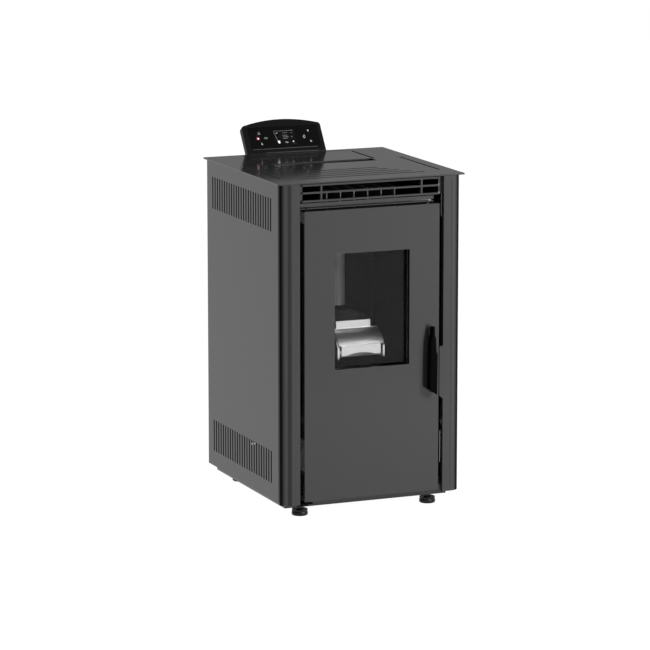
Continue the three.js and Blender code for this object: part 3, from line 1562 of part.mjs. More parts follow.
// The rocker lies tilted one way at rest and turns about a line in its well.
const rockerY = inletFace - 4;

function rocker() {
  const half = SWITCH_H / 2 - 1.8;
  const profile = new THREE.ExtrudeGeometry(
    outline([
      [-6, -2.5],
      [-6, 2.5],
      [0, half],
      [3.6, half],
      [2.8, 0],
      [3.6, -half],
      [0, -half],
    ]),
    { depth: SWITCH_W - 1.2, bevelEnabled: false },
  );
  profile.translate(0, 0, -SWITCH_W / 2 + 0.6).applyMatrix4(ALONG.x);
  return solid(profile);
}

add("pressure_switch", pressureSwitch(), BLACK_PLASTIC);
add("power_inlet", powerInlet(), BLACK_PLASTIC);
const rockerMesh = add("rocker_switch", rocker(), BLACK_PLASTIC);
rockerMesh.position.set(INLET_X, rockerY, SWITCH_Z);
rockerMesh.rotation.x = -rad(ROCKER_TILT);

stove.position.y = -(HANDLE_FRONT + FLUE_END) / 2;

const whole = new THREE.Group();
whole.add(stove);

export default whole;
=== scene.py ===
"""Pellet stove in dark grey enamelled sheet steel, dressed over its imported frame."""

import json
import math

import bpy
from mathutils import Matrix, Vector


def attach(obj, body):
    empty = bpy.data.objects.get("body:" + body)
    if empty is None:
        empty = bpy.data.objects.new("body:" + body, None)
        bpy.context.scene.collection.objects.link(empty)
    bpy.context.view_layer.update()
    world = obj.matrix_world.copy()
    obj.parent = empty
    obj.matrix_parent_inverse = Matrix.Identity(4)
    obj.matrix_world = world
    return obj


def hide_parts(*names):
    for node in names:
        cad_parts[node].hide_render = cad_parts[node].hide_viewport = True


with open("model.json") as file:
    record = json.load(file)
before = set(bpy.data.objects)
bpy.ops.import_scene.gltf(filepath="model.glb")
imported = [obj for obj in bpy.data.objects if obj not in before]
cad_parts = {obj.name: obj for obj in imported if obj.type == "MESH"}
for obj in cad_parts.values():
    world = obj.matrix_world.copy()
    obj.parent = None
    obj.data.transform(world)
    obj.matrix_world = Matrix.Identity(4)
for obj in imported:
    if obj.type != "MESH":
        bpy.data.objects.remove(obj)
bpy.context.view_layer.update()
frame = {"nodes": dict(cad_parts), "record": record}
nodes = frame["nodes"]
MM = 0.001
SHARP_ANGLE = math.radians(40)  # edges that turn more than this are rounded
SMOOTH_ANGLE = math.radians(50)  # faces that turn less than this shade as one
FACE_WEIGHT = 90  # how far large faces lead the shading
SAME_POINT = 1e-6

scene = bpy.context.scene
scene.view_settings.view_transform = "Standard"


# ------------------------------------------------------------- tools ----
def select_only(*objects):
    if bpy.context.mode != "OBJECT":
        bpy.ops.object.mode_set(mode="OBJECT")
    bpy.ops.object.select_all(action="DESELECT")
    for item in objects:
        item.select_set(True)
    if objects:
        bpy.context.view_layer.objects.active = objects[-1]


def settle(piece):
    """Moves a piece's place, turn and size into its mesh."""
    select_only(piece)
    bpy.ops.object.transform_apply(location=True, rotation=True, scale=True)
    return piece


def turn_outwards(piece):
    """Makes every face of a closed piece point out."""
    select_only(piece)
    bpy.ops.object.mode_set(mode="EDIT")
    bpy.ops.mesh.select_all(action="SELECT")
    bpy.ops.mesh.normals_make_consistent(inside=False)
    bpy.ops.object.mode_set(mode="OBJECT")


def round_edges(piece, width, segments=2):
    """Rounds the sharp edges, and shades the faces between them evenly."""
    select_only(piece)
    bevel = piece.modifiers.new("edge", "BEVEL")
    bevel.width = width
    bevel.segments = segments
    bevel.limit_method = "ANGLE"
    bevel.angle_limit = SHARP_ANGLE
    bevel.use_clamp_overlap = True
    bevel.loop_slide = False
    bpy.ops.object.modifier_apply(modifier=bevel.name)
    even_shade(piece)
    return piece


def even_shade(piece):
    """Shades flat faces flat, and the shallow turns between them smoothly."""
    select_only(piece)
    bpy.ops.object.shade_smooth_by_angle(angle=SMOOTH_ANGLE)
    weighted = piece.modifiers.new("shade", "WEIGHTED_NORMAL")
    weighted.keep_sharp = True
    weighted.weight = FACE_WEIGHT
    bpy.ops.object.modifier_apply(modifier=weighted.name)


def body_of(node):
    for name, members in frame["record"]["behaviour"]["bodies"].items():
        if node in members:
            return name
    raise KeyError(node)


def dressed(node, material, width):
    """A finished copy of a frame node, with its sharp edges rounded by width mm."""
    piece = nodes[node].copy()
    piece.data = nodes[node].data.copy()
    piece.name = node + "_finished"
    piece.parent = None
    piece.matrix_world = Matrix.Identity(4)
    scene.collection.objects.link(piece)
    select_only(piece)
    bpy.ops.object.mode_set(mode="EDIT")
    bpy.ops.mesh.select_all(action="SELECT")
    bpy.ops.mesh.remove_doubles(threshold=SAME_POINT)
    bpy.ops.object.mode_set(mode="OBJECT")
    piece.data.materials.clear()
    piece.data.materials.append(material)
    if width:
        round_edges(piece, width * MM)
    else:
        even_shade(piece)
    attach(piece, body_of(node))
    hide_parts(node)


def block(name, low, high):
    """A box between two corners, in metres, as the start of a piece."""
    low = Vector(low)
    high = Vector(high)
    bpy.ops.mesh.primitive_cube_add(size=1, location=(low + high) / 2)
    piece = bpy.context.active_object
    piece.name = name
    piece.scale = high - low
    return settle(piece)


def finish_piece(piece, material, body):
    """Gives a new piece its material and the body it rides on."""
    piece.data.materials.clear()
    piece.data.materials.append(material)
    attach(piece, body)
    return piece


def copied(piece, name, shift):
    """A copy with a mesh of its own, moved by shift."""
    twin = piece.copy()
    twin.data = piece.data.copy()
    twin.name = name
    twin.data.transform(Matrix.Translation(Vector(shift)))
    scene.collection.objects.link(twin)
    return twin


def joined(name, pieces):
    """One piece made of several, under a name of its own."""
    select_only(*pieces)
    bpy.ops.object.join()
    whole = bpy.context.active_object
    whole.name = name
    return whole


# --------------------------------------------------- shared effects ----
def effect(name, inputs, outputs):
    """An empty node group with its sockets; each input is a label, a kind and a value."""
    group = bpy.data.node_groups.new(name, "ShaderNodeTree")
    for label, kind, value in inputs:
        socket = group.interface.new_socket(name=label, in_out="INPUT", socket_type=kind)
        socket.default_value = value
    for label, kind in outputs:
        group.interface.new_socket(name=label, in_out="OUTPUT", socket_type=kind)
    entry = group.nodes.new("NodeGroupInput")
    exit_node = group.nodes.new("NodeGroupOutput")
    return group, entry, exit_node


FLOAT = "NodeSocketFloat"
VECTOR = "NodeSocketVector"


def sprayed_skin():
    """The fine even pebble of a sprayed and baked enamel, as a height."""
    group, entry, leave = effect(
        "sprayed skin", [("Pebbles per metre", FLOAT, 900.0)], [("Height", FLOAT)])
    place = group.nodes.new("ShaderNodeTexCoord")
    fine = group.nodes.new("ShaderNodeTexNoise")
    fine.inputs["Detail"].default_value = 2.0
    fine.inputs["Roughness"].default_value = 0.45
    group.links.new(place.outputs["Object"], fine.inputs["Vector"])
    group.links.new(entry.outputs["Pebbles per metre"], fine.inputs["Scale"])
    group.links.new(fine.outputs["Fac"], leave.inputs["Height"])
    return group


def handled():
    """Soft patches left by wiping and handling, as a value around a middle."""
    group, entry, leave = effect(
        "wiped and handled",
        [("Middle", FLOAT, 0.4), ("Spread", FLOAT, 0.08), ("Patches per metre", FLOAT, 7.0)],
        [("Value", FLOAT)])
    place = group.nodes.new("ShaderNodeTexCoord")
    broad = group.nodes.new("ShaderNodeTexNoise")
    broad.inputs["Detail"].default_value = 4.0
    broad.inputs["Roughness"].default_value = 0.6
    group.links.new(place.outputs["Object"], broad.inputs["Vector"])
    group.links.new(entry.outputs["Patches per metre"], broad.inputs["Scale"])
    centred = group.nodes.new("ShaderNodeMath")
    centred.operation = "SUBTRACT"
    centred.inputs[1].default_value = 0.5
    group.links.new(broad.outputs["Fac"], centred.inputs[0])
    spread = group.nodes.new("ShaderNodeMath")
    spread.operation = "MULTIPLY_ADD"
    group.links.new(centred.outputs[0], spread.inputs[0])
    group.links.new(entry.outputs["Spread"], spread.inputs[1])
    group.links.new(entry.outputs["Middle"], spread.inputs[2])
    group.links.new(spread.outputs[0], leave.inputs["Value"])
    return group


def rolled_grain():
    """Long fine lines left by rolling or brushing, across one direction."""
    group, entry, leave = effect(
        "rolled grain", [("Stretch", VECTOR, (12.0, 900.0, 900.0))], [("Value", FLOAT)])
    place = group.nodes.new("ShaderNodeTexCoord")
    stretch = group.nodes.new("ShaderNodeVectorMath")
    stretch.operation = "MULTIPLY"
    group.links.new(place.outputs["Object"], stretch.inputs[0])
    group.links.new(entry.outputs["Stretch"], stretch.inputs[1])
    lines = group.nodes.new("ShaderNodeTexNoise")
    lines.inputs["Scale"].default_value = 1.0
    lines.inputs["Detail"].default_value = 3.0
    group.links.new(stretch.outputs[0], lines.inputs["Vector"])
    group.links.new(lines.outputs["Fac"], leave.inputs["Value"])
    return group


def settled_soot():
    """Patchy soot or dust: a mask that is strong in some places and thin in others."""
    group, entry, leave = effect(
        "settled soot", [("Cover", FLOAT, 0.5)], [("Mask", FLOAT)])
    place = group.nodes.new("ShaderNodeTexCoord")
    cloud = group.nodes.new("ShaderNodeTexNoise")
    cloud.inputs["Scale"].default_value = 14.0
    cloud.inputs["Detail"].default_value = 6.0
    cloud.inputs["Roughness"].default_value = 0.65
    group.links.new(place.outputs["Object"], cloud.inputs["Vector"])
    edge = group.nodes.new("ShaderNodeMapRange")
    edge.inputs["From Min"].default_value = 0.35
    edge.inputs["From Max"].default_value = 0.65
    group.links.new(cloud.outputs["Fac"], edge.inputs["Value"])
    amount = group.nodes.new("ShaderNodeMath")
    amount.operation = "MULTIPLY"
    group.links.new(edge.outputs["Result"], amount.inputs[0])
    group.links.new(entry.outputs["Cover"], amount.inputs[1])
    group.links.new(amount.outputs[0], leave.inputs["Mask"])
    return group


SKIN = sprayed_skin()
HANDLED = handled()
GRAIN = rolled_grain()
SOOT = settled_soot()


# --------------------------------------------------------- finishes ----
class Finish:
    """One material with its Principled shader, and the effects placed in it."""

    def __init__(self, name, **plain):
        self.material = bpy.data.materials.new(name)
        self.material.use_nodes = True
        self.tree = self.material.node_tree
        self.shader = self.tree.nodes["Principled BSDF"]
        for label, value in plain.items():
            self.shader.inputs[label.replace("_", " ")].default_value = value

    def place(self, group, **values):
        node = self.tree.nodes.new("ShaderNodeGroup")
        node.node_tree = group
        for label, value in values.items():
            node.inputs[label.replace("_", " ")].default_value = value
        return node

    def feed(self, output, label):
        self.tree.links.new(output, self.shader.inputs[label])

    def two_tone(self, mask, first, second):
        mix = self.tree.nodes.new("ShaderNodeMix")
        mix.data_type = "RGBA"
        mix.inputs["A"].default_value = first
        mix.inputs["B"].default_value = second
        self.tree.links.new(mask, mix.inputs["Factor"])
        self.feed(mix.outputs["Result"], "Base Color")

    def relief(self, height, strength, distance):
        bump = self.tree.nodes.new("ShaderNodeBump")
        bump.inputs["Strength"].default_value = strength
        bump.inputs["Distance"].default_value = distance
        self.tree.links.new(height, bump.inputs["Height"])
        self.feed(bump.outputs["Normal"], "Normal")


def grey(value, warmth=0.0):
    return (value + warmth, value, value - warmth, 1.0)


def enamel(name, dark, light, roughness, coat, coat_roughness, pebble=0.25):
    finish = Finish(name, Coat_Weight=coat, Coat_Roughness=coat_roughness, Specular_IOR_Level=0.0)
    skin = finish.place(SKIN, Pebbles_per_metre=1400.0)
    marks = finish.place(HANDLED, Middle=roughness, Spread=0.10)
    finish.two_tone(skin.outputs["Height"], dark, light)
    finish.feed(marks.outputs["Value"], "Roughness")
    finish.relief(skin.outputs["Height"], pebble, 0.00004)
    return finish.material


def bare_metal(name, dark, light, roughness, stretch, depth=0.2):
    finish = Finish(name, Metallic=1.0)
    lines = finish.place(GRAIN, Stretch=stretch)
    marks = finish.place(HANDLED, Middle=roughness, Spread=0.14, Patches_per_metre=16.0)
    finish.two_tone(lines.outputs["Value"], dark, light)
    finish.feed(marks.outputs["Value"], "Roughness")
    finish.relief(lines.outputs["Value"], depth, 0.00003)
    return finish.material


def sooted(name, clean, soot, roughness, cover, metallic=0.0, shine=0.5):
    finish = Finish(name, Metallic=metallic, Specular_IOR_Level=shine)
    mask = finish.place(SOOT, Cover=cover)
    skin = finish.place(SKIN, Pebbles_per_metre=500.0)
    finish.two_tone(mask.outputs["Mask"], clean, soot)
    marks = finish.place(HANDLED, Middle=roughness, Spread=0.2, Patches_per_metre=20.0)
    finish.feed(marks.outputs["Value"], "Roughness")
    finish.relief(skin.outputs["Height"], 0.3, 0.0001)
    return finish.material


def moulding(name, dark, light, roughness, grain=700.0, depth=0.3, shine=0.5):
    finish = Finish(name, Specular_IOR_Level=shine)
    skin = finish.place(SKIN, Pebbles_per_metre=grain)
    marks = finish.place(HANDLED, Middle=roughness, Spread=0.12, Patches_per_metre=25.0)
    finish.two_tone(skin.outputs["Height"], dark, light)
    finish.feed(marks.outputs["Value"], "Roughness")
    finish.relief(skin.outputs["Height"], depth, 0.00008)
    return finish.material


def knitted_rope(name):
    finish = Finish(name)
    place = finish.tree.nodes.new("ShaderNodeTexCoord")
    cells = finish.tree.nodes.new("ShaderNodeTexVoronoi")
    cells.inputs["Scale"].default_value = 420.0
    finish.tree.links.new(place.outputs["Object"], cells.inputs["Vector"])
    finish.two_tone(cells.outputs["Distance"], (0.035, 0.033, 0.030, 1), (0.010, 0.010, 0.009, 1))
    marks = finish.place(HANDLED, Middle=0.92, Spread=0.08, Patches_per_metre=60.0)
    finish.feed(marks.outputs["Value"], "Roughness")
    finish.relief(cells.outputs["Distance"], 0.8, -0.0006)
    return finish.material


def clear_glass(name):
    finish = Finish(name, Base_Color=(0.80, 0.80, 0.80, 1), Transmission_Weight=1.0, IOR=1.22)
    marks = finish.place(HANDLED, Middle=0.02, Spread=0.02, Patches_per_metre=30.0)
    finish.feed(marks.outputs["Value"], "Roughness")
    tree = finish.tree
    light_path = tree.nodes.new("ShaderNodeLightPath")
    through = tree.nodes.new("ShaderNodeBsdfTransparent")
    through.inputs["Color"].default_value = (0.85, 0.85, 0.85, 1)
    mix = tree.nodes.new("ShaderNodeMixShader")
    tree.links.new(light_path.outputs["Is Shadow Ray"], mix.inputs[0])
    tree.links.new(finish.shader.outputs[0], mix.inputs[1])
    tree.links.new(through.outputs[0], mix.inputs[2])
    tree.links.new(mix.outputs[0], tree.nodes["Material Output"].inputs["Surface"])
    return finish.material


def lit(name, colour, strength):
    finish = Finish(name, Base_Color=colour, Emission_Color=colour, Emission_Strength=strength)
    marks = finish.place(HANDLED, Middle=0.5, Spread=0.1, Patches_per_metre=200.0)
    finish.feed(marks.outputs["Value"], "Roughness")
    return finish.material


STOVE_GREY = enamel("stove grey enamel", grey(0.019), grey(0.025), 0.42, 1.0, 0.10)
PLATE_GREY = enamel("plate grey enamel", grey(0.018), grey(0.024), 0.42, 1.0, 0.13)
SIDE_GREY = enamel("side grey enamel", grey(0.019), grey(0.025), 0.42, 0.84, 0.10)
# Painted shade: near-black and dark grey enamels for folds, slot edges and creases that sit in
# shadow.
PAINTED_SHADOW_BLACK = enamel("painted shadow black", grey(0.003), grey(0.004), 0.6, 0.08, 0.25)
PAINTED_SHADE_GREY = enamel("painted crease shade", grey(0.012), grey(0.016), 0.5, 0.45, 0.18)
HEAT_BLACK = enamel("heat resistant black", grey(0.003), grey(0.005), 0.6, 0.05, 0.4, 0.4)
CHAMBER = sooted("chamber steel", grey(0.006), grey(0.003), 0.85, 0.8, 0.0, 0.1)
CHUTE_STEEL = sooted("chute steel", grey(0.30), grey(0.22), 0.6, 0.5, 0.2)
FIN_STEEL = sooted("fin steel", grey(0.07), grey(0.03), 0.5, 0.7, 0.6)
POT_STEEL = bare_metal("bright stainless", grey(0.86), grey(0.95), 0.14, (14.0, 900.0, 900.0), 0.08)
HOLDER_STEEL = bare_metal("dull stainless", grey(0.17), grey(0.23), 0.46, (14.0, 900.0, 900.0), 0.1)
DULL_STAINLESS = bare_metal("turned stainless", grey(0.48), grey(0.60), 0.30, (900.0, 20.0, 900.0))
ZINC = bare_metal("zinc coated sheet", grey(0.34), grey(0.50), 0.42, (60.0, 60.0, 60.0), 0.1)
# Zinc sheet darkened as painted shade, for the pieces deep inside the cabinet.
ZINC_IN_PAINTED_SHADE = bare_metal("zinc sheet darkened as painted shade", grey(0.09), grey(0.14), 0.55, (60.0, 60.0, 60.0), 0.1)
CASTING = sooted("sand cast metal", grey(0.16), grey(0.09), 0.6, 0.6, 0.85)
HOUSING_BLACK = moulding("black moulding", grey(0.0025), grey(0.004), 0.4, 700.0, 0.3, 0.12)
HANDLE_BLACK = moulding("black grip", grey(0.0006), grey(0.001), 0.5, 700.0, 0.3, 0.02)
PANEL_FILM = moulding("panel film", grey(0.0015), grey(0.0025), 0.3, 1200.0, 0.05, 0.1)
FOOT_RUBBER = moulding("foot rubber", grey(0.002), grey(0.004), 0.38, 300.0, 0.3, 0.3)
ROPE = knitted_rope("glass rope")
WINDOW_GLASS = clear_glass("ceramic glass")
DISPLAY_LENS = moulding("display window", grey(0.004), grey(0.005), 0.10, 1500.0, 0.02, 0.15)
BOARD = moulding(
    "circuit board", (0.010, 0.055, 0.022, 1), (0.014, 0.075, 0.03, 1), 0.45, 900.0, 0.2)
VERMICULITE = sooted("vermiculite board", (0.55, 0.50, 0.42, 1), (0.12, 0.11, 0.10, 1), 0.9, 0.9)
# The key marks get a faint glow: painted light, for print is no lamp.
WHITE_MARK_GLOW = lit("white mark with painted glow", (0.45, 0.46, 0.45, 1), 0.15)
GREEN_MARK_GLOW = lit("pale green print with painted glow", (0.20, 0.25, 0.22, 1), 0.10)
LAMP_RED = lit("red lamp", (0.22, 0.01, 0.04, 1), 0.3)
LAMP_WHITE = lit("white lamp", (0.8, 0.8, 0.8, 1), 0.6)
DISPLAY_GREY = lit("display segment", (0.16, 0.16, 0.18, 1), 0.15)
# Grey for two thin lines on the control face: painted highlights of the lip's edges.
LIP_HIGHLIGHT_GREY = moulding("painted lip highlight", grey(0.10), grey(0.14), 0.4)

# ------------------------------------------------ finished frame nodes ----
FINISHES = {
    "base_tray": (STOVE_GREY, 0.5), "side_panel_left": (SIDE_GREY, 0.3),
    "side_panel_right": (SIDE_GREY, 0.3), "front_column_left": (STOVE_GREY, 0.4),
    "front_column_right": (STOVE_GREY, 0.4), "rear_panel": (STOVE_GREY, 0.3),
    "top_plate": (PLATE_GREY, 0.5), "top_rail": (STOVE_GREY, 0.4),
    "air_grille": (STOVE_GREY, 0.4), "hopper_lid": (PLATE_GREY, 0.5),
    "door_panel": (STOVE_GREY, 0.7), "door_frame": (HEAT_BLACK, 0.3),
    "lower_hinge_bracket": (HEAT_BLACK, 0.4), "door_rope": (ROPE, 2.5),
    "glass_gasket": (ROPE, 0.3), "glass_retainer": (ZINC, 0.2),
    "door_handle": (HANDLE_BLACK, 0.3), "latch_shaft": (DULL_STAINLESS, 0.3),
    "latch_keeper": (ZINC, 0.3), "hopper": (ZINC_IN_PAINTED_SHADE, 0.0), "hopper_guard": (DULL_STAINLESS, 0.3),
    "auger_tube": (ZINC, 0.3), "auger_screw": (CASTING, 0.0), "auger_gearmotor": (CASTING, 0.8),
    "pellet_chute": (CHUTE_STEEL, 0.3), "firebox_shell": (CHAMBER, 0.5),
    "heat_exchanger": (FIN_STEEL, 0.4), "firebox_stand": (ZINC_IN_PAINTED_SHADE, 0.3),
    "baffle_plate": (VERMICULITE, 1.0), "burn_pot": (POT_STEEL, 0.3),
    "pot_holder": (HOLDER_STEEL, 0.3), "igniter": (DULL_STAINLESS, 0.4),
    "ash_drawer": (ZINC, 0.3), "exhaust_housing": (CASTING, 0.8),
    "exhaust_impeller": (DULL_STAINLESS, 0.2), "exhaust_motor": (CASTING, 0.8),
    "flue_box": (ZINC, 0.4), "air_intake": (ZINC, 0.3), "room_fan_housing": (ZINC_IN_PAINTED_SHADE, 0.3),
    "room_fan_rotor": (ZINC, 0.0), "room_fan_motor": (CASTING, 1.2),
    "control_housing": (HOUSING_BLACK, 0.4), "control_panel": (PANEL_FILM, 0.15),
    "display": (DISPLAY_LENS, 0.2), "control_board": (BOARD, 0.1),
    "pressure_switch": (HOUSING_BLACK, 0.5), "power_inlet": (HOUSING_BLACK, 0.3),
    "rocker_switch": (HOUSING_BLACK, 0.4),
    "foot_front_left": (FOOT_RUBBER, 0.6), "foot_front_right": (FOOT_RUBBER, 0.6),
    "foot_rear_left": (FOOT_RUBBER, 0.6), "foot_rear_right": (FOOT_RUBBER, 0.6),
}
KEYS = ["key_up", "key_power", "key_mode", "key_down", "key_more", "key_set", "key_less"]
for key in KEYS:
    FINISHES[key] = (PANEL_FILM, 0.2)

for node, (material, width) in FINISHES.items():
    dressed(node, material, width)
# The apron of the pot holder, which faces the window, is polished stainless made far brighter than
# the rest of the holder: painted highlight where it faces the light.
FACING_WINDOW = -0.97
holder = bpy.data.objects["pot_holder_finished"]
holder.data.materials.append(POT_STEEL)
for face in holder.data.polygons:
    if face.normal.y < FACING_WINDOW:
        face.material_index = 1
# The folds of the front columns: painted shade, a near-black band at the outer edge and darker grey
# creases.
# Each row: which column, the way it faces, then the turns in degrees that a band covers.
FOLDS = [
    ("left", -1, PAINTED_SHADOW_BLACK, (50, 76)), ("left", -1, PAINTED_SHADE_GREY, (40, 50)),
    ("left", -1, PAINTED_SHADE_GREY, (76, 88)), ("left", -1, PAINTED_SHADE_GREY, (2, 18)),
    ("right", 1, PAINTED_SHADOW_BLACK, (28, 88)), ("right", 1, PAINTED_SHADE_GREY, (18, 28)),
]
FOLD_START = 0.1885  # the flat front of a column ends here, in metres from the middle
for label, way, material, (least, most) in FOLDS:
    column = bpy.data.objects["front_column_%s_finished" % label]
    column.data.materials.append(material)
    for face in column.data.polygons:
        turn = math.degrees(math.atan2(way * face.normal.x, -face.normal.y))
        level = abs(face.normal.z) < 0.3
        if level and least < turn < most and way * face.center.x > FOLD_START:
            face.material_index = len(column.data.materials) - 1

# The cut edges of the side slots are painted near-black: painted shade, so the slots read dark.
for label in ("left", "right"):
    panel = bpy.data.objects["side_panel_%s_finished" % label]
    panel.data.materials.append(PAINTED_SHADOW_BLACK)
    for face in panel.data.polygons:
        inside = -0.2 < face.center.y < 0.19 and 0.03 < face.center.z < 0.715
        if inside and abs(face.normal.x) < 0.95:
            face.material_index = 1
nodes["door_glass"].data.materials.clear()
nodes["door_glass"].data.materials.append(WINDOW_GLASS)


# ------------------------------------------------------ warm air guides ----
def folded_sheet(name, path, low, high, thick):
    """A sheet folded along a path seen from above, standing from low to high, in metres."""
    bpy.ops.mesh.primitive_plane_add(size=1, location=(0, 0, 0))
    sheet = bpy.context.active_object
    sheet.name = name
    select_only(sheet)
    bpy.ops.object.mode_set(mode="EDIT")
    bpy.ops.mesh.select_all(action="SELECT")
    bpy.ops.mesh.merge(type="CENTER")
    bpy.ops.transform.translate(value=(path[0][0], path[0][1], low))
    for start, end in zip(path, path[1:]):
        step = (end[0] - start[0], end[1] - start[1], 0)
        bpy.ops.mesh.extrude_region_move(TRANSFORM_OT_translate={"value": step})
    bpy.ops.mesh.select_all(action="SELECT")
    bpy.ops.mesh.extrude_region_move(TRANSFORM_OT_translate={"value": (0, 0, high - low)})
    bpy.ops.object.mode_set(mode="OBJECT")
    solidify = sheet.modifiers.new("thickness", "SOLIDIFY")
    solidify.thickness = thick
    solidify.offset = 0
    bpy.ops.object.modifier_apply(modifier=solidify.name)
    turn_outwards(sheet)
    return round_edges(sheet, 0.2 * MM)


GUIDE_T = 0.001
GUIDE_LOW = 0.640
GUIDE_HIGH = 0.7362
RAIL_TOP = 0.6948
GUIDE_FRONT_X = 0.1684
GUIDE_X = 0.164
GUIDE_STEP_Y = -0.1985
for side, label in ((-1, "left"), (1, "right")):
    front_part = folded_sheet(
        "guide_front_" + label,
        [(side * GUIDE_FRONT_X, -0.2292), (side * GUIDE_FRONT_X, -0.205),
         (side * GUIDE_X, GUIDE_STEP_Y)],
        RAIL_TOP if side < 0 else GUIDE_LOW, GUIDE_HIGH, GUIDE_T)
    rear_part = folded_sheet(
        "guide_rear_" + label,
        [(side * GUIDE_X, GUIDE_STEP_Y), (side * GUIDE_X, 0.040), (side * 0.132, 0.040)],
        GUIDE_LOW, GUIDE_HIGH, GUIDE_T)
    guide = joined("warm_air_guide_" + label, [front_part, rear_part])
    finish_piece(guide, HEAT_BLACK, "cabinet")

# ------------------------------------------------------ foot collars ----
COLLAR_R = 17.4 * MM
COLLAR_T = 4.8 * MM
COLLAR_Z = 11.6 * MM
DISH_RIM = 4.5 * MM
DISH_DEPTH = 1.5 * MM


def foot_collar(name, x, y):
    """A ring on top of a foot's disc, with a shallow dish in its upper face."""
    bpy.ops.mesh.primitive_cylinder_add(
        vertices=40, radius=COLLAR_R, depth=COLLAR_T, location=(x, y, COLLAR_Z))
    collar = bpy.context.active_object
    collar.name = name
    settle(collar)
    select_only(collar)
    bpy.ops.object.mode_set(mode="EDIT")
    bpy.ops.mesh.select_all(action="DESELECT")
    bpy.ops.object.mode_set(mode="OBJECT")
    for face in collar.data.polygons:
        face.select = face.normal.z > 0.9
    bpy.ops.object.mode_set(mode="EDIT")
    bpy.ops.mesh.select_mode(type="FACE")
    bpy.ops.mesh.inset(thickness=DISH_RIM)
    bpy.ops.transform.translate(value=(0, 0, -DISH_DEPTH))
    bpy.ops.object.mode_set(mode="OBJECT")
    return round_edges(collar, 1.2 * MM, 3)


for node in ("foot_front_left", "foot_front_right", "foot_rear_left", "foot_rear_right"):
    corners = [Vector(corner) for corner in nodes[node].bound_box]
    middle = nodes[node].matrix_world @ (sum(corners, Vector()) / 8)
    collar = foot_collar(node + "_collar", middle.x, middle.y)
    finish_piece(collar, FOOT_RUBBER, body_of(node))

# ---------------------------------------------------------- lid edge shade ----
# A thin near-black strip along the right edge of the lid's top: painted shade along the lid's edge.
LID_EDGE = 0.1305
STRIP_W = 0.0042
shade_strip = block(
    "lid_edge_shade_strip", (LID_EDGE - STRIP_W, 0.052, 0.7399), (LID_EDGE - 0.0002, 0.170, 0.7403))
round_edges(shade_strip, 0.1 * MM)
finish_piece(shade_strip, PAINTED_SHADOW_BLACK, body_of("hopper_lid"))

# ------------------------------------------------ marks on the controls ----
CONTROL_LEAN = math.radians(-34)
CONTROL_FACE = (
    Matrix.Translation((-0.0195, 0.197, 0.7406)) @ Matrix.Rotation(CONTROL_LEAN, 4, "X"))
KEY_FACE = 0.4  # mm behind the face of the housing, as all the depths below
LENS_FACE = 0.9
MARK_T = 0.12
MARK_LIFT = 0.04  # how deep a mark sits in its face


def flat_mark(sides, radius, centre, front, turn=0.0, stretch=(1.0, 1.0), hole=0.0, start=0.0):
    """A thin raised mark on the control face: a disc, triangle, bar or ring, in mm."""
    bpy.ops.mesh.primitive_circle_add(vertices=sides, radius=radius * MM, fill_type="NGON")
    mark = bpy.context.active_object
    mark.rotation_euler = (0, 0, math.radians(start))
    settle(mark)
    mark.scale = (stretch[0], stretch[1], 1)
    settle(mark)
    mark.rotation_euler = (math.radians(90), 0, 0)
    settle(mark)
    mark.rotation_euler = (0, math.radians(turn), 0)
    settle(mark)
    bpy.ops.object.mode_set(mode="EDIT")
    bpy.ops.mesh.select_all(action="SELECT")
    if hole:
        bpy.ops.mesh.inset(thickness=hole * MM)
        bpy.ops.mesh.delete(type="FACE")
        bpy.ops.mesh.select_all(action="SELECT")
    bpy.ops.mesh.extrude_region_move(TRANSFORM_OT_translate={"value": (0, -MARK_T * MM, 0)})
    bpy.ops.object.mode_set(mode="OBJECT")
    mark.location = (centre[0] * MM, (front + MARK_LIFT) * MM, centre[1] * MM)
    settle(mark)
    mark.data.transform(CONTROL_FACE)
    turn_outwards(mark)
    return mark


def bar_mark(centre, size, front, turn=0.0):
    """A thin raised bar: its middle and size in mm, turned in its own plane."""
    return flat_mark(4, math.sqrt(0.5), centre, front, turn, size, start=45)


def print_marks(name, marks, material, body):
    whole = joined(name, marks)
    return finish_piece(whole, material, body)


def arrow(centre, way):
    """A triangle on a short stem, pointing up or down."""
    x, z = centre
    return [
        flat_mark(3, 2.7, (x, z + way * 0.8), KEY_FACE, 90 if way < 0 else -90),
        bar_mark((x, z - way * 2.0), (1.1, 2.2), KEY_FACE),
    ]


print_marks("icon_up", [
    flat_mark(3, 3.4, (-58, 53.6), KEY_FACE, -90, hole=0.8),
    bar_mark((-58, 50.2), (7.0, 0.9), KEY_FACE)], GREEN_MARK_GLOW, "key_up")
print_marks("icon_power_ring", [
    flat_mark(24, 3.9, (-63, 40), KEY_FACE, hole=1.3)], LAMP_RED, "key_power")
print_marks("icon_power_dot", [
    flat_mark(16, 1.9, (-62.2, 39.2), KEY_FACE)], LAMP_WHITE, "key_power")
print_marks("icon_mode", [
    bar_mark((-47, 40), (1.0, 4.2), KEY_FACE), bar_mark((-44, 40), (1.0, 4.2), KEY_FACE),
    bar_mark((-41, 40), (1.0, 4.2), KEY_FACE), bar_mark((-44, 40), (6.2, 0.8), KEY_FACE - 0.02)],
    GREEN_MARK_GLOW, "key_mode")
print_marks("icon_down", arrow((-56, 26), -1), WHITE_MARK_GLOW, "key_down")
print_marks("icon_more", arrow((62, 53), 1), WHITE_MARK_GLOW, "key_more")
print_marks("icon_set", [
    flat_mark(4, 4.1, (50, 39), KEY_FACE, 0, (0.8, 1.15), hole=0.8)],
    WHITE_MARK_GLOW, "key_set")
print_marks("icon_less", arrow((64, 27), -1), WHITE_MARK_GLOW, "key_less")

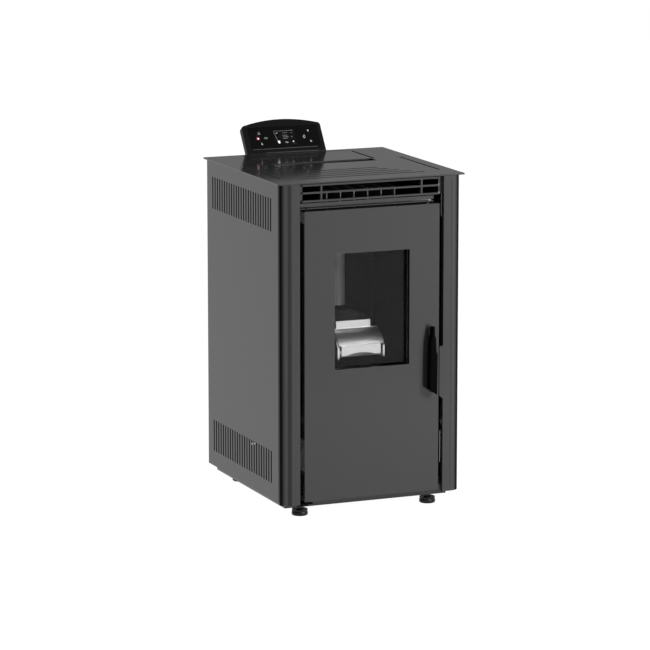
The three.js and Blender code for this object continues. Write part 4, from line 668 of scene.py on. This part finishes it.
print_marks("display_flame", [
    flat_mark(18, 2.5, (-13.5, 27.5), LENS_FACE),
    flat_mark(3, 3.1, (-14.0, 30.6), LENS_FACE - 0.02, -90, (0.8, 1.0))],
    LAMP_WHITE, "cabinet")
print_marks("display_bright_marks", [
    flat_mark(3, 2.9, (21.5, 28.5), LENS_FACE, -90),
    bar_mark((-15.5, 51.5), (4.6, 1.0), LENS_FACE),
    flat_mark(4, 2.6, (5.0, 27.2), LENS_FACE, 0, (1.7, 0.8), hole=0.6)],
    WHITE_MARK_GLOW, "cabinet")
print_marks("display_dim_marks", [
    bar_mark((-18.2, 40.5), (0.8, 33.0), LENS_FACE, -13),
    bar_mark((4, 56.6), (46, 0.6), LENS_FACE),
    bar_mark((4, 45), (12, 1.0), LENS_FACE),
    bar_mark((5, 41), (14, 1.0), LENS_FACE),
    bar_mark((4, 37), (11, 1.0), LENS_FACE),
    flat_mark(10, 1.0, (1, 51.5), LENS_FACE),
    flat_mark(10, 1.0, (5, 51.5), LENS_FACE),
    flat_mark(10, 1.0, (9, 51.5), LENS_FACE),
    bar_mark((21, 51), (3.6, 0.9), LENS_FACE, 30),
    flat_mark(12, 1.6, (20, 40.5), LENS_FACE, hole=0.6)],
    DISPLAY_GREY, "cabinet")
# Two thin grey lines along the lower lip of the control face: painted highlights for the lip's
# edges.
print_marks("control_lip_highlights", [
    bar_mark((-2, 12.4), (160, 0.7), 0.0),
    bar_mark((14, 2.6), (128, 0.5), 0.0)], LIP_HIGHLIGHT_GREY, "cabinet")


# ------------------------------------------------------------ screws ----
def pan_screw():
    """A pan head screw with a six-sided socket, its head towards +Y, 7 mm across."""
    bpy.ops.mesh.primitive_cylinder_add(vertices=24, radius=3.5 * MM, depth=2.0 * MM)
    screw = bpy.context.active_object
    screw.rotation_euler = (math.radians(-90), 0, 0)
    settle(screw)
    bpy.ops.mesh.primitive_cylinder_add(vertices=6, radius=1.7 * MM, depth=2.0 * MM)
    socket = bpy.context.active_object
    socket.rotation_euler = (math.radians(-90), 0, 0)
    socket.location = (0, 1.1 * MM, 0)
    settle(socket)
    select_only(screw)
    recess = screw.modifiers.new("recess", "BOOLEAN")
    recess.operation = "DIFFERENCE"
    recess.solver = "EXACT"
    recess.object = socket
    bpy.ops.object.modifier_apply(modifier=recess.name)
    bpy.data.objects.remove(socket)
    return round_edges(screw, 0.5 * MM, 3)


SCREW = pan_screw()
REAR_FACE = 0.203
REAR_SCREWS = [
    (x, REAR_FACE + 0.0008, z)
    for x in (-0.203, 0.203) for z in (0.060, 0.215, 0.370, 0.525, 0.680)
]
rear_screws = [copied(SCREW, "rear_screw", place) for place in REAR_SCREWS]
finish_piece(joined("rear_panel_screws", rear_screws), ZINC, "cabinet")
bpy.data.objects.remove(SCREW)

# ------------------------------------------------------ stage, camera ----
FLOOR_SIZE = 60
SEEN_WHITE = 1.1  # a little over white, so that the background has no tint
bpy.ops.mesh.primitive_plane_add(size=FLOOR_SIZE, location=(0, 0, 0))
floor = bpy.context.active_object
floor.name = "studio_floor"


def pale_floor():
    """White where the camera or a shiny part sees it, with a light shadow kept."""
    material = bpy.data.materials.new("pale floor")
    material.use_nodes = True
    tree = material.node_tree
    tree.nodes.remove(tree.nodes["Principled BSDF"])
    lit_part = tree.nodes.new("ShaderNodeBsdfDiffuse")
    lit_part.inputs["Color"].default_value = (0.80, 0.80, 0.80, 1)
    white = tree.nodes.new("ShaderNodeEmission")
    path = tree.nodes.new("ShaderNodeLightPath")
    seen = tree.nodes.new("ShaderNodeMath")
    seen.operation = "MAXIMUM"
    tree.links.new(path.outputs["Is Camera Ray"], seen.inputs[0])
    tree.links.new(path.outputs["Is Glossy Ray"], seen.inputs[1])
    through = tree.nodes.new("ShaderNodeMath")
    through.operation = "MAXIMUM"
    tree.links.new(seen.outputs[0], through.inputs[0])
    tree.links.new(path.outputs["Is Transmission Ray"], through.inputs[1])
    share = tree.nodes.new("ShaderNodeMath")
    share.operation = "MULTIPLY"
    share.inputs[1].default_value = 0.9
    white.inputs["Strength"].default_value = SEEN_WHITE
    tree.links.new(through.outputs[0], share.inputs[0])
    mix = tree.nodes.new("ShaderNodeMixShader")
    tree.links.new(share.outputs[0], mix.inputs[0])
    tree.links.new(lit_part.outputs[0], mix.inputs[1])
    tree.links.new(white.outputs[0], mix.inputs[2])
    tree.links.new(mix.outputs[0], tree.nodes["Material Output"].inputs["Surface"])
    return material


floor.data.materials.append(pale_floor())


def studio_world():
    world = bpy.data.worlds.new("studio")
    world.use_nodes = True
    tree = world.node_tree
    around = tree.nodes["Background"]
    around.inputs["Color"].default_value = (1, 1, 1, 1)
    around.inputs["Strength"].default_value = 0.28
    seen = tree.nodes.new("ShaderNodeBackground")
    seen.inputs["Color"].default_value = (1, 1, 1, 1)
    seen.inputs["Strength"].default_value = SEEN_WHITE
    path = tree.nodes.new("ShaderNodeLightPath")
    either = tree.nodes.new("ShaderNodeMath")
    either.operation = "MAXIMUM"
    tree.links.new(path.outputs["Is Camera Ray"], either.inputs[0])
    tree.links.new(path.outputs["Is Transmission Ray"], either.inputs[1])
    mix = tree.nodes.new("ShaderNodeMixShader")
    tree.links.new(either.outputs[0], mix.inputs[0])
    tree.links.new(around.outputs[0], mix.inputs[1])
    tree.links.new(seen.outputs[0], mix.inputs[2])
    tree.links.new(mix.outputs[0], tree.nodes["World Output"].inputs["Surface"])
    return world


scene.world = studio_world()


def soft_lamp(name, place, target, size, power):
    """A rectangular lamp at a place, facing a target."""
    data = bpy.data.lights.new(name, "AREA")
    data.shape = "RECTANGLE"
    data.size, data.size_y = size
    data.energy = power
    lamp = bpy.data.objects.new(name, data)
    lamp.location = place
    lamp.rotation_euler = (Vector(target) - Vector(place)).to_track_quat("-Z", "Y").to_euler()
    scene.collection.objects.link(lamp)
    return lamp


# Name, place, target, size in metres, power in watts.
soft_lamp("left_softbox", (-2.6, -2.2, 2.4), (0, 0, 0.4), (2.4, 2.0), 24)
soft_lamp("front_softbox", (1.6, -3.4, 2.2), (0, 0, 0.4), (2.4, 2.0), 30)
soft_lamp("right_front_panel", (0.9, -1.3, 0.95), (0.1, -0.24, 0.6), (0.5, 0.5), 34)
soft_lamp("top_softbox", (0, 0.4, 3.4), (0, 0, 0.4), (2.4, 2.4), 15)

LENS_MM = 198.56
CAMERA_DOWN = 10.746  # degrees below the horizon
CAMERA_TURN = -22.732
camera_data = bpy.data.cameras.new("photo_camera")
camera_data.sensor_width = 36.0
camera_data.lens = LENS_MM
camera = bpy.data.objects.new("photo_camera", camera_data)
camera.location = (-3.05293, -7.26285, 1.87178)
camera.rotation_euler = (math.radians(90 - CAMERA_DOWN), 0, math.radians(CAMERA_TURN))
camera_data.clip_end = 100
scene.collection.objects.link(camera)
scene.camera = camera
